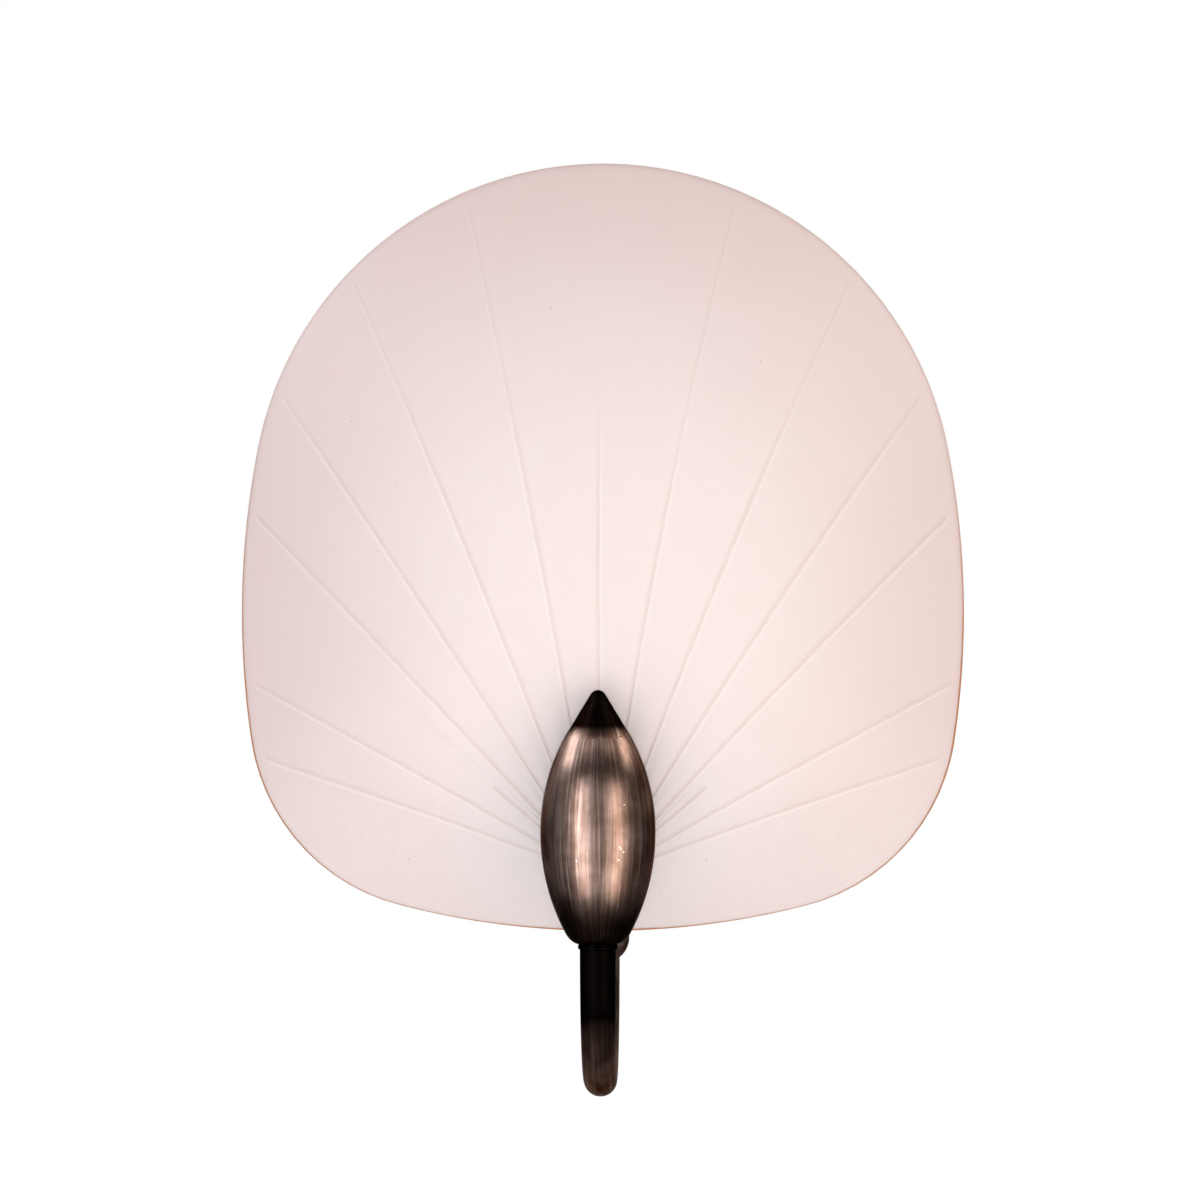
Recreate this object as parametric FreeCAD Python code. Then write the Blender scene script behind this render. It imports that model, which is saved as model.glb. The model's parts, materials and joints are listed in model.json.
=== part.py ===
"""Shell wall sconce: a ribbed shell on a bronze pod, carried by a U-shaped tube from the wall.

Millimetres, +Z up, the front faces -Y. The wall is the plane y = 0, and the origin is the
middle of the bracket that is screwed to it.
"""

import FreeCAD, Part
import math
import os

V = FreeCAD.Vector

# ---------------------------------------------------------------- driving dimensions

# Shell outline: four tangent arcs on each side, seen from the front
shell_width = 304.0
shell_height = 323.0
shell_foot_z = -69.3
shell_widest_z = 64.5
shell_side_radius = 362.0
shell_corner_radius = 84.0
shell_foot_radius = 343.0

# Shell dome and wall, measured along Y
shell_rise = 62.0
shell_wall = 6.0
shell_wall_gap = 40.0
shell_rim_round = 2.2
shell_pad_radius = 12.0
shell_pad_stand_out = 1.0
shell_back_pad_stand_out = 1.0
shell_surface_margin = 10.0
shell_surface_steps = 16

# Grooves that fan out over the shell
groove_fan_z = -44.0
groove_width = 2.6
groove_depth = 1.2
groove_start = 26.0
groove_rim_margin = 4.5
centre_groove_rim_margin = 17.0
groove_angles = (11.3, 22.8, 33.9, 44.3, 61.7, 71.5)
groove_bow = 0.010
short_groove_angle = 51.0
short_groove_reach = 58.0

# Pod: two long arcs that meet at the widest level, and a cone on top
pod_radius = 23.3
pod_widest_z = -24.0
pod_upper_arc = 81.0
pod_lower_arc = 87.0
pod_cone_above_widest = 38.2
pod_tip_above_widest = 57.6
pod_tip_radius = 2.0
pod_foot_below_widest = 45.2
pod_foot_round = 4.5
pod_wall = 3.5
pod_floor = 8.0
pod_mouth_radius = 8.5
pod_mouth_depth = 7.0
pod_spigot_length = 6.0
pod_flat_depth = 1.5
pod_boss_radius = 8.0
pod_boss_inside = 6.0
pod_shell_gap = 1.2

# Arm: one tube, bent to a U in the plane x = 0
arm_pod_radius = 7.4
arm_radius = 6.85
arm_bore_radius = 5.0
arm_bend_z = -83.2
arm_wall_gap = 17.0
collar_radius = 8.1
collar_thickness = 2.0

# Socket on the rear leg
socket_radius = 11.0
socket_top_z = -46.0
socket_tube_depth = 16.0
socket_mouth_above_bend = 0.6

# Threaded parts with the common lamp thread
thread_radius = 5.0
wire_bore_radius = 3.5
nut_across_flats = 14.0
nut_thickness = 5.0
nipple_reach = 8.0
nipple_beyond_nut = 2.0
stud_beyond_nut = 0.5

# Soft and hard washers on the shade stud
spacer_radius = 8.0
soft_washer_radius = 11.0
soft_washer_thickness = 2.0
steel_washer_radius = 9.5
steel_washer_thickness = 1.2

# Steel angle that carries the lampholder
angle_width = 30.0
angle_thickness = 2.0
angle_foot_below_stud = 12.0
angle_shelf_depth = 24.0
angle_shelf_z = 2.0
angle_wire_hole_radius = 7.5

# Lampholder
holder_radius = 15.0
holder_height = 38.0
holder_forward_of_wall = 50.0
holder_foot_cavity_radius = 9.0
holder_foot_cavity_height = 10.0
holder_floor_thickness = 4.0
holder_bore_radius = 8.1
holder_thread_radius = 7.9
holder_thread_wall = 0.6
holder_thread_height = 21.0
holder_screw_radius = 1.5
holder_screw_pitch_radius = 12.0
holder_screw_depth = 7.0
holder_terminal_offset = 5.0
holder_terminal_size = 4.0
holder_terminal_height = 6.0
holder_edge_round = 2.0
terminal_screw_radius = 0.75
terminal_screw_head_radius = 1.4
terminal_screw_head_height = 1.0
terminal_screw_above_foot = 1.6
terminal_wire_hole_depth = 4.0
contact_strip_thickness = 0.6
contact_strip_width = 2.6
contact_button_radius = 2.0
contact_height = 1.0

# Candle lamp with a 14 mm screw cap
bulb_cap_radius = 7.0
bulb_cap_height = 21.0
bulb_cap_wall = 0.5
bulb_cap_floor = 1.0
bulb_tip_height = 3.0
bulb_tip_radius = 3.0
bulb_tip_taper = 1.0
bulb_glass_radius = 17.5
bulb_glass_height = 74.0
bulb_glass_widest_height = 24.0
bulb_glass_tip_radius = 3.0
bulb_glass_in_cap = 4.0
bulb_glass_wall = 0.8
bulb_neck_radius = 6.0
bulb_neck_above_cap = 1.0
bulb_stem_radius = 2.0
bulb_stem_height = 34.0
bulb_stem_foot_height = 2.0
bulb_spider_height = 1.0
filament_radius = 0.7
filament_length = 26.0
filament_offset = 4.5
filament_count = 4
contact_gap = 0.3

# Round cover at the wall
canopy_radius = 55.0
canopy_depth = 31.0
canopy_wall = 1.6
canopy_edge_round = 7.0
canopy_slot_top_above_edge = 15.0

# Steel bracket on the wall
bracket_thickness = 3.0
bracket_width = 26.0
bracket_height = 92.0
bracket_arm_height = 18.0
bracket_ear_depth = 19.0
bracket_canopy_gap = 3.4
bracket_shelf_depth = 26.0
wall_screw_spacing = 60.0
wall_screw_hole_radius = 2.25
supply_hole_radius = 5.0
supply_hole_z = 17.5
earth_screw_beyond_bracket = 12.0

# Knurled screws that hold the cover
canopy_screw_radius = 2.0
canopy_screw_head_radius = 4.5
canopy_screw_head_length = 5.0
canopy_screw_from_wall = 14.0
canopy_screw_past_ear = 1.0
canopy_screw_head_gap = 0.3
knurl_count = 20
knurl_radius = 0.45

# Terminal strip
strip_pole_pitch = 8.0
strip_pole_count = 3
strip_height = 18.0
strip_depth = 14.0
strip_bore_radius = 2.0
strip_insert_radius = 3.0
strip_screw_radius = 1.3
strip_screw_head_radius = 1.7
strip_screw_head_height = 1.2
strip_screw_well_radius = 2.0
strip_end_margin = 1.0
strip_mount_screw_radius = 0.85
strip_mount_hole_radius = 0.9
strip_mount_head_radius = 1.2
strip_mount_head_height = 1.0

# Small screws
small_screw_radius = 1.5
small_screw_head_radius = 2.8
small_screw_head_height = 2.0
screw_slot_width = 0.8

# Inner wires
wire_radius = 1.1
wire_side_offset = 1.3
wire_bend_radius = 5.0
wire_pod_bend_radius = 9.0
wire_end_bend_radius = 3.0
wire_below_strip = 5.0
wire_above_nut = 4.0
wire_rise_above_stud = 12.0
wire_run_to_terminal = 5.0
wire_into_terminal = 3.5
wire_into_strip = 2.5
earth_wire_below_strip = 8.0
earth_eye_radius = 4.0
earth_eye_thickness = 0.8
earth_eye_gap = 0.6

# Clearances
thread_clearance = 0.05
hole_clearance = 0.3
seat_clearance = 0.1
terminal_hole_clearance = 0.4

# How far a cutting tool reaches past the face that it cuts
over = 1.0

# ---------------------------------------------------------------- derived places

shell_top_z = shell_foot_z + shell_height
shell_middle_z = (shell_top_z + shell_foot_z) / 2
rim_y = -shell_wall_gap - shell_wall
stud_z = pod_widest_z
pod_foot_z = pod_widest_z - pod_foot_below_widest
pod_joint_z = pod_widest_z + pod_cone_above_widest
pod_top_z = pod_widest_z + pod_tip_above_widest
rear_y = -arm_wall_gap


def shell_arcs():
    """The right half of the outline as (angle where it starts, centre, radius), top to foot.

    Angles are seen from the middle of the shell. The side arc stands upright at the widest
    level, the crown arc follows from the side arc and the top, and the corner arc's centre
    follows from the arcs beside it.
    """
    half = shell_width / 2
    top = shell_top_z - shell_middle_z
    foot = shell_foot_z - shell_middle_z
    level = shell_widest_z - shell_middle_z
    side_radius = shell_side_radius
    side = (half - side_radius, level)
    climb = top - level
    crown_radius = (2 * side_radius * half - half**2 - climb**2) / (2 * (side_radius - climb))
    crown = (0.0, top - crown_radius)
    base = (0.0, foot + shell_foot_radius)
    to_base = math.dist(side, base)
    from_side = side_radius - shell_corner_radius
    from_base = shell_foot_radius - shell_corner_radius
    along = (from_side**2 - from_base**2 + to_base**2) / (2 * to_base)
    across = math.sqrt(from_side**2 - along**2)
    ux = (base[0] - side[0]) / to_base
    uz = (base[1] - side[1]) / to_base
    corner = (side[0] + along * ux + across * uz, side[1] + along * uz - across * ux)

    def joint_angle(first, first_radius, second, second_radius):
        """The direction of the point where two arcs touch, one inside the other."""
        reach = first_radius / (first_radius - second_radius)
        x = first[0] + (second[0] - first[0]) * reach
        z = first[1] + (second[1] - first[1]) * reach
        return math.atan2(z, x)

    return [
        (math.pi / 2, crown, crown_radius),
        (joint_angle(side, side_radius, crown, crown_radius), side, side_radius),
        (joint_angle(side, side_radius, corner, shell_corner_radius), corner, shell_corner_radius),
        (joint_angle(base, shell_foot_radius, corner, shell_corner_radius), base, shell_foot_radius),
    ]


SHELL_ARCS = shell_arcs()


def rim_distance(angle, arcs=SHELL_ARCS):
    """How far the rim is from the middle of the shell, in the direction angle."""
    dx = abs(math.cos(angle))
    dz = math.sin(angle)
    folded = math.atan2(dz, dx)
    centre, radius = [(c, r) for start, c, r in arcs if folded <= start + 1e-9][-1]
    near = dx * centre[0] + dz * centre[1]
    return near + math.sqrt(near**2 - centre[0] ** 2 - centre[1] ** 2 + radius**2)


def dome_y(x, z):
    """The y of the shell's front face: a dome that falls to the rim plane at the outline."""
    up = z - shell_middle_z
    if math.hypot(x, up) < 1e-6:
        return rim_y - shell_rise
    share = math.hypot(x, up) / rim_distance(math.atan2(up, x))
    return rim_y - shell_rise * (1 - share**2)


def pod_outer_radius(z):
    """Radius of the pod at the level z."""
    if z >= pod_joint_z:
        edge = math.sqrt(pod_upper_arc**2 - pod_cone_above_widest**2)
        slope = pod_cone_above_widest / edge
        return pod_radius - pod_upper_arc + edge - (z - pod_joint_z) * slope
    arc = pod_upper_arc if z > pod_widest_z else pod_lower_arc
    return pod_radius - arc + math.sqrt(arc**2 - (z - pod_widest_z) ** 2)


def pod_axis_y():
    """The pod stands as close to the dome as the gap allows, at whatever level is tightest."""
    levels = [pod_widest_z + step for step in range(int(pod_tip_above_widest))]
    return min(dome_y(0, z) - max(pod_outer_radius(z), 0) for z in levels) - pod_shell_gap


pod_y = pod_axis_y()
bend_radius = (rear_y - pod_y) / 2
pod_flat_y = pod_y + pod_radius - pod_flat_depth
front_pad_y = dome_y(0, stud_z + shell_pad_radius) - shell_pad_stand_out
back_pad_y = dome_y(0, stud_z - shell_pad_radius) + shell_wall + shell_back_pad_stand_out
angle_front_y = back_pad_y + soft_washer_thickness
angle_back_y = angle_front_y + angle_thickness
shade_nut_y = angle_back_y + steel_washer_thickness
stud_end_y = shade_nut_y + nut_thickness + stud_beyond_nut
holder_y = -holder_forward_of_wall
holder_floor_z = angle_shelf_z + holder_foot_cavity_height
holder_top_z = angle_shelf_z + holder_height
contact_top_z = holder_floor_z + holder_floor_thickness + contact_height
bulb_foot_z = contact_top_z + contact_gap
cap_foot_z = bulb_foot_z + bulb_tip_height
cap_top_z = cap_foot_z + bulb_cap_height
arm_top_front_z = pod_foot_z - collar_thickness
arm_top_rear_z = socket_top_z - (socket_top_z - arm_bend_z - seat_clearance) + socket_tube_depth
bracket_shelf_z = socket_top_z
ear_x = canopy_radius - canopy_wall - bracket_canopy_gap
strip_y = -bracket_thickness
strip_middle_y = strip_y - strip_depth / 2
strip_width = strip_pole_pitch * strip_pole_count + 2 * strip_end_margin


# ---------------------------------------------------------------- helpers


def cylinder(radius, start, along):
    """A round bar from the point start, as long as the vector along."""
    return Part.makeCylinder(radius, along.Length, start, along)


def tube(outer, inner, start, along):
    return cylinder(outer, start, along).cut(cylinder(inner, start, along))


def box(x, y, z):
    """A box from three (low, high) pairs."""
    return Part.makeBox(x[1] - x[0], y[1] - y[0], z[1] - z[0], V(x[0], y[0], z[0]))


def hexagon_nut(start, along, bore):
    """A hexagon nut with its hole, from the point start."""
    corner = nut_across_flats / math.sqrt(3)
    side = V(1, 0, 0)
    up = along.cross(side).normalize()
    points = []
    for step in range(7):
        turn = math.radians(60 * step)
        points.append(start + side * (corner * math.cos(turn)) + up * (corner * math.sin(turn)))
    nut = Part.Face(Part.makePolygon(points)).extrude(along)
    return nut.cut(cylinder(bore, start, along))


def line(a, b):
    return Part.LineSegment(a, b).toShape()


def arc(a, middle, b):
    return Part.Arc(a, middle, b).toShape()


def turned(edges):
    """A solid of revolution about the Z axis from a closed profile in the plane y = 0."""
    profile = Part.Face(Part.Wire(edges))
    return profile.revolve(V(0, 0, 0), V(0, 0, 1), 360)


def pan_head_screw(radius, head_radius, head_height, seat, along):
    """A screw whose head sits on the point seat. Its shank is the vector along."""
    into = V(along).normalize()
    shank = cylinder(radius, seat, along)
    head = cylinder(head_radius, seat - into * head_height, into * head_height)
    slot_half = screw_slot_width / 2
    top = seat - into * head_height
    across = V(1, 0, 0) if abs(into.x) < 0.5 else V(0, 1, 0)
    other = into.cross(across)
    corner = top - across * (head_radius * 2) - other * slot_half
    slot_face = Part.Face(
        Part.makePolygon(
            [
                corner,
                corner + across * (head_radius * 4),
                corner + across * (head_radius * 4) + other * (2 * slot_half),
                corner + other * (2 * slot_half),
                corner,
            ]
        )
    )
    return shank.fuse(head).cut(slot_face.extrude(into * (head_height / 2))).removeSplitter()


def rounded_path(points, radii):
    """A wire of straight runs joined by tangent arcs, one radius for each inner point."""
    edges = []
    start = points[0]
    for index, radius in enumerate(radii):
        corner = points[index + 1]
        back = (points[index] - corner).normalize()
        ahead = (points[index + 2] - corner).normalize()
        half_angle = back.getAngle(ahead) / 2
        cut = radius / math.tan(half_angle)
        enter = corner + back * cut
        leave = corner + ahead * cut
        bisector = (back + ahead).normalize()
        middle = corner + bisector * (radius / math.sin(half_angle) - radius)
        if (enter - start).Length > 1e-3:
            edges.append(line(start, enter))
        edges.append(arc(enter, middle, leave))
        start = leave
    if (points[-1] - start).Length > 1e-3:
        edges.append(line(start, points[-1]))
    return Part.Wire(edges)


def swept_round(path, radius):
    """A round bar along a wire."""
    edge = path.OrderedEdges[0]
    start = edge.valueAt(edge.FirstParameter)
    tangent = path.OrderedEdges[0].tangentAt(edge.FirstParameter)
    circle = Part.Wire(Part.makeCircle(radius, start, tangent))
    return path.makePipeShell([circle], True, False)


# ---------------------------------------------------------------- the shell


def outline_wire(y):
    """The shell's outline in the plane y: seven arcs, the crown and foot arcs shared."""
    angles = [start for start, centre, radius in SHELL_ARCS]
    right = angles[1:]
    left = [math.pi - a for a in reversed(right)]
    corners = right + left

    def rim_point(angle):
        reach = rim_distance(angle)
        return V(reach * math.cos(angle), y, shell_middle_z + reach * math.sin(angle))

    edges = []
    for index, start in enumerate(corners):
        end = corners[(index + 1) % len(corners)]
        middle = (start + end) / 2
        if index == len(right) - 1:
            middle = -math.pi / 2
        if index == len(corners) - 1:
            middle = math.pi / 2
        edges.append(arc(rim_point(start), rim_point(middle), rim_point(end)))
    return Part.Wire(edges)


def dome_face():
    """The front face of the dome, carried a little past the outline."""
    steps = shell_surface_steps
    half = shell_width / 2 + shell_surface_margin
    low = shell_foot_z - shell_surface_margin
    high = shell_top_z + shell_surface_margin
    rows = []
    for i in range(steps + 1):
        x = -half + 2 * half * i / steps
        row = []
        for j in range(steps + 1):
            z = low + (high - low) * j / steps
            row.append(V(x, dome_y(x, z), z))
        rows.append(row)
    surface = Part.BSplineSurface()
    surface.interpolate(rows)
    return surface.toShape()


def groove_strip(angle, start, end, bow):
    """A prism along Y over one groove: a slightly bowed strip with round ends."""
    lean = math.radians(angle)
    along = V(math.sin(lean), 0, math.cos(lean))
    across = V(math.cos(lean), 0, -math.sin(lean))
    fan = V(0, pod_y - pod_radius, groove_fan_z)
    sag = -across * (bow * (end - start) * (1 if angle > 0 else -1 if angle < 0 else 0))
    half = groove_width / 2
    near = fan + along * start
    far = fan + along * end
    middle = fan + along * ((start + end) / 2) + sag
    if sag.Length > 1e-6:
        right = arc(near + across * half, middle + across * half, far + across * half)
        left = arc(far - across * half, middle - across * half, near - across * half)
    else:
        right = line(near + across * half, far + across * half)
        left = line(far - across * half, near - across * half)
    outer_end = arc(far + across * half, far + along * half, far - across * half)
    inner_end = arc(near - across * half, near - along * half, near + across * half)
    strip = Part.Face(Part.Wire([right, outer_end, left, inner_end]))
    return strip.extrude(V(0, -(pod_y - pod_radius), 0))


def groove_end(angle, margin):
    """How far from the fan's origin the rim is, less the margin, in the direction angle."""
    lean = math.radians(angle)
    low = 0.0
    high = shell_height + shell_width
    while high - low > 1e-4:
        reach = (low + high) / 2
        x = reach * math.sin(lean)
        up = groove_fan_z + reach * math.cos(lean) - shell_middle_z
        if math.hypot(x, up) < rim_distance(math.atan2(up, x)):
            low = reach
        else:
            high = reach
    return low - margin


def groove_strips():
    strips = [groove_strip(0.0, groove_start, groove_end(0.0, centre_groove_rim_margin), 0.0)]
    for side in (-1, 1):
        for angle in groove_angles:
            end = groove_end(angle, groove_rim_margin)
            strips.append(groove_strip(side * angle, groove_start, end, groove_bow))
        short_angle = side * short_groove_angle
        strips.append(groove_strip(short_angle, groove_start, short_groove_reach, groove_bow))
    return strips


def make_shell_shade():
    front = dome_face()
    slab = front.extrude(V(0, shell_wall, 0))
    depth = shell_rise + shell_wall + shell_wall_gap
    prism = Part.Face(outline_wire(rim_y - depth)).extrude(V(0, 2 * depth, 0))
    shell = slab.common(prism)
    rim_edges = []
    for edge in shell.Edges:
        middle_y = edge.CenterOfMass.y
        if edge.BoundBox.YLength < over and abs(middle_y - rim_y) < over:
            rim_edges.append(edge)
    shell = shell.makeFillet(shell_rim_round, rim_edges)
    skin = front.copy()
    skin.translate(V(0, -over, 0))
    skin_slab = skin.extrude(V(0, over + groove_depth, 0))
    shell = shell.cut([strip.common(skin_slab) for strip in groove_strips()])
    pad = cylinder(shell_pad_radius, V(0, front_pad_y, stud_z), V(0, back_pad_y - front_pad_y, 0))
    hole_radius = thread_radius + hole_clearance
    hole_length = back_pad_y - front_pad_y + 2 * over
    hole = cylinder(hole_radius, V(0, front_pad_y - over, stud_z), V(0, hole_length, 0))
    return shell.fuse(pad).cut(hole)


# ---------------------------------------------------------------- the pod


def pod_profile_arc(arc_radius, from_z, to_z, inset):
    """Part of the pod's outline as an arc, inset by a wall."""
    radius = arc_radius - inset
    centre_r = pod_radius - arc_radius

    def point(z):
        return V(centre_r + math.sqrt(radius**2 - (z - pod_widest_z) ** 2), 0, z)

    return arc(point(from_z), point((from_z + to_z) / 2), point(to_z)), point(from_z), point(to_z)


def on_axis(z):
    return V(0, 0, z)


def make_pod_body():
    upper, joint, widest = pod_profile_arc(pod_upper_arc, pod_joint_z, pod_widest_z, 0)
    lower, widest, foot = pod_profile_arc(pod_lower_arc, pod_widest_z, pod_foot_z, 0)
    outside = turned(
        [
            line(on_axis(pod_joint_z), joint),
            upper,
            lower,
            line(foot, on_axis(pod_foot_z)),
            line(on_axis(pod_foot_z), on_axis(pod_joint_z)),
        ]
    )
    foot_edges = [e for e in outside.Edges if abs(e.BoundBox.ZMax - pod_foot_z) < 1e-3 and e.Closed]
    outside = outside.makeFillet(pod_foot_round, foot_edges)
    floor_z = pod_foot_z + pod_floor
    roof_z = pod_joint_z - pod_mouth_depth
    upper, roof, widest = pod_profile_arc(pod_upper_arc, roof_z, pod_widest_z, pod_wall)
    lower, widest, floor = pod_profile_arc(pod_lower_arc, pod_widest_z, floor_z, pod_wall)
    cavity = turned(
        [
            line(on_axis(roof_z), roof),
            upper,
            lower,
            line(floor, on_axis(floor_z)),
            line(on_axis(floor_z), on_axis(roof_z)),
        ]
    )
    mouth = cylinder(pod_mouth_radius, on_axis(roof_z), V(0, 0, pod_mouth_depth + over))
    body = outside.cut(cavity).cut(mouth)
    body.translate(V(0, pod_y, 0))
    boss_start = V(0, pod_flat_y - pod_flat_depth - pod_wall - pod_boss_inside, stud_z)
    boss = cylinder(pod_boss_radius, boss_start, V(0, pod_flat_y - boss_start.y, 0))
    flat = cylinder(spacer_radius, V(0, pod_flat_y, stud_z), V(0, pod_flat_depth * 2, 0))
    stud_hole_length = pod_flat_y - boss_start.y + 2 * over
    stud_hole = cylinder(thread_radius, boss_start - V(0, over, 0), V(0, stud_hole_length, 0))
    nipple_hole = cylinder(thread_radius, V(0, pod_y, pod_foot_z - over), V(0, 0, pod_floor + 2 * over))
    return body.fuse(boss).cut(flat).cut(stud_hole).cut(nipple_hole)


def make_pod_tip():
    base_r = pod_outer_radius(pod_joint_z)
    slope = pod_outer_radius(pod_joint_z) - pod_outer_radius(pod_joint_z + 1)
    half_angle = math.atan(slope)
    ball_z = pod_top_z - pod_tip_radius
    touch_r = pod_tip_radius * math.cos(half_angle)
    touch_z = ball_z + pod_tip_radius * math.sin(half_angle)
    lift = math.pi / 4 + half_angle / 2
    ball_middle = V(pod_tip_radius * math.cos(lift), 0, ball_z + pod_tip_radius * math.sin(lift))
    spigot_r = pod_mouth_radius - thread_clearance
    spigot_z = pod_joint_z - pod_spigot_length
    tip = turned(
        [
            line(on_axis(spigot_z), V(spigot_r, 0, spigot_z)),
            line(V(spigot_r, 0, spigot_z), V(spigot_r, 0, pod_joint_z)),
            line(V(spigot_r, 0, pod_joint_z), V(base_r, 0, pod_joint_z)),
            line(V(base_r, 0, pod_joint_z), V(touch_r, 0, touch_z)),
            arc(V(touch_r, 0, touch_z), ball_middle, on_axis(pod_top_z)),
            line(on_axis(pod_top_z), on_axis(spigot_z)),
        ]
    )
    tip.translate(V(0, pod_y, 0))
    return tip


# ---------------------------------------------------------------- the arm


def make_arm_tube():
    """The U tube. It tapers from the pod down to the middle of the bend."""
    front_top = V(0, pod_y, arm_top_front_z)
    front_low = V(0, pod_y, arm_bend_z)
    low = V(0, (pod_y + rear_y) / 2, arm_bend_z - bend_radius)
    rear_low = V(0, rear_y, arm_bend_z)
    rear_top = V(0, rear_y, arm_top_rear_z)
    diagonal = bend_radius * math.sqrt(0.5)
    front_mid = V(0, low.y - diagonal, arm_bend_z - diagonal)
    rear_mid = V(0, low.y + diagonal, arm_bend_z - diagonal)
    taper = Part.BRepOffsetAPI.MakePipeShell(
        Part.Wire([line(front_top, front_low), arc(front_low, front_mid, low)])
    )
    taper.setFrenetMode(True)
    taper.add(Part.Wire(Part.makeCircle(arm_pod_radius, front_top, V(0, 0, -1))))
    taper.add(Part.Wire(Part.makeCircle(arm_radius, low, V(0, 1, 0))))
    taper.build()
    taper.makeSolid()
    rear = Part.Wire([arc(low, rear_mid, rear_low), line(rear_low, rear_top)])
    outside = taper.shape().fuse(swept_round(rear, arm_radius))
    full = Part.Wire(
        [
            line(front_top, front_low),
            arc(front_low, front_mid, low),
            arc(low, rear_mid, rear_low),
            line(rear_low, rear_top),
        ]
    )
    return outside.cut(swept_round(full, arm_bore_radius))


def make_neck_collar():
    start = V(0, pod_y, arm_top_front_z)
    bore = thread_radius + thread_clearance
    return tube(collar_radius, bore, start, V(0, 0, collar_thickness))


def nipple(start, along):
    return tube(thread_radius - thread_clearance, wire_bore_radius, start, along)


def make_front_nipple():
    low = arm_top_front_z - nipple_reach
    high = pod_foot_z + pod_floor
    return nipple(V(0, pod_y, low), V(0, 0, high - low))


def make_arm_socket():
    """A barrel with a round foot: the tube enters from below, the nipple from above."""
    mouth = arm_radius + seat_clearance
    drop = math.sqrt(socket_radius**2 - mouth**2)
    mouth_z = arm_bend_z + socket_mouth_above_bend
    ball_z = mouth_z + drop
    turn = (math.atan2(-drop, mouth)) / 2
    ball_side = V(socket_radius * math.cos(turn), 0, ball_z + socket_radius * math.sin(turn))
    bore = thread_radius + thread_clearance
    socket = turned(
        [
            line(V(mouth, 0, mouth_z), V(mouth, 0, arm_top_rear_z)),
            line(V(mouth, 0, arm_top_rear_z), V(bore, 0, arm_top_rear_z)),
            line(V(bore, 0, arm_top_rear_z), V(bore, 0, socket_top_z)),
            line(V(bore, 0, socket_top_z), V(socket_radius, 0, socket_top_z)),
            line(V(socket_radius, 0, socket_top_z), V(socket_radius, 0, ball_z)),
            arc(V(socket_radius, 0, ball_z), ball_side, V(mouth, 0, mouth_z)),
        ]
    )
    socket.translate(V(0, rear_y, 0))
    return socket


def make_rear_nipple():
    low = arm_top_rear_z - nipple_reach
    high = bracket_shelf_z + bracket_thickness + nut_thickness + nipple_beyond_nut
    return nipple(V(0, rear_y, low), V(0, 0, high - low))


def make_rear_lock_nut():
    start = V(0, rear_y, bracket_shelf_z + bracket_thickness)
    return hexagon_nut(start, V(0, 0, nut_thickness), thread_radius + thread_clearance)


# ---------------------------------------------------------------- the shade stud


def make_shade_stud():
    start_y = pod_flat_y - pod_flat_depth - pod_wall - pod_boss_inside
    return nipple(V(0, start_y, stud_z), V(0, stud_end_y - start_y, 0))


def make_spacer_ring():
    start = V(0, pod_flat_y, stud_z)
    length = front_pad_y - soft_washer_thickness - pod_flat_y
    return tube(spacer_radius - seat_clearance, thread_radius + thread_clearance, start, V(0, length, 0))


def soft_washer(start_y):
    bore = thread_radius + thread_clearance
    return tube(soft_washer_radius, bore, V(0, start_y, stud_z), V(0, soft_washer_thickness, 0))


def make_front_washer():
    return soft_washer(front_pad_y - soft_washer_thickness)


def make_rear_washer():
    return soft_washer(back_pad_y)


def make_holder_bracket():
    """A steel angle: its foot is clamped on the stud, its shelf carries the lampholder."""
    half = angle_width / 2
    shelf_low = angle_shelf_z - angle_thickness
    foot_low = stud_z - angle_foot_below_stud
    leg = box((-half, half), (angle_front_y, angle_back_y), (foot_low, angle_shelf_z))
    shelf_y = (angle_front_y, angle_front_y + angle_shelf_depth)
    shelf = box((-half, half), shelf_y, (shelf_low, angle_shelf_z))
    angle = leg.fuse(shelf).removeSplitter()
    bore = thread_radius + thread_clearance
    through = angle_thickness + 2 * over
    angle = angle.cut(cylinder(bore, V(0, angle_front_y - over, stud_z), V(0, through, 0)))
    wire_hole = cylinder(angle_wire_hole_radius, V(0, holder_y, shelf_low - over), V(0, 0, through))
    angle = angle.cut(wire_hole)
    for x in (-holder_screw_pitch_radius, holder_screw_pitch_radius):
        start = V(x, holder_y, shelf_low - over)
        hole = cylinder(holder_screw_radius + thread_clearance, start, V(0, 0, through))
        angle = angle.cut(hole)
    return angle


def make_steel_washer():
    start = V(0, angle_back_y, stud_z)
    bore = thread_radius + thread_clearance
    return tube(steel_washer_radius, bore, start, V(0, steel_washer_thickness, 0))


def make_shade_nut():
    start = V(0, shade_nut_y, stud_z)
    return hexagon_nut(start, V(0, nut_thickness, 0), thread_radius + thread_clearance)


# ---------------------------------------------------------------- the lampholder


def holder_point(x, z):
    return V(x, holder_y, z)


def terminal_block_box(side):
    """One clamping block in the lampholder's foot, on the side -1 or 1."""
    half = holder_terminal_size / 2
    middle = side * holder_terminal_offset
    low = holder_floor_z - holder_terminal_height
    return box((middle - half, middle + half), (holder_y - half, holder_y + half), (low, holder_floor_z))


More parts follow.
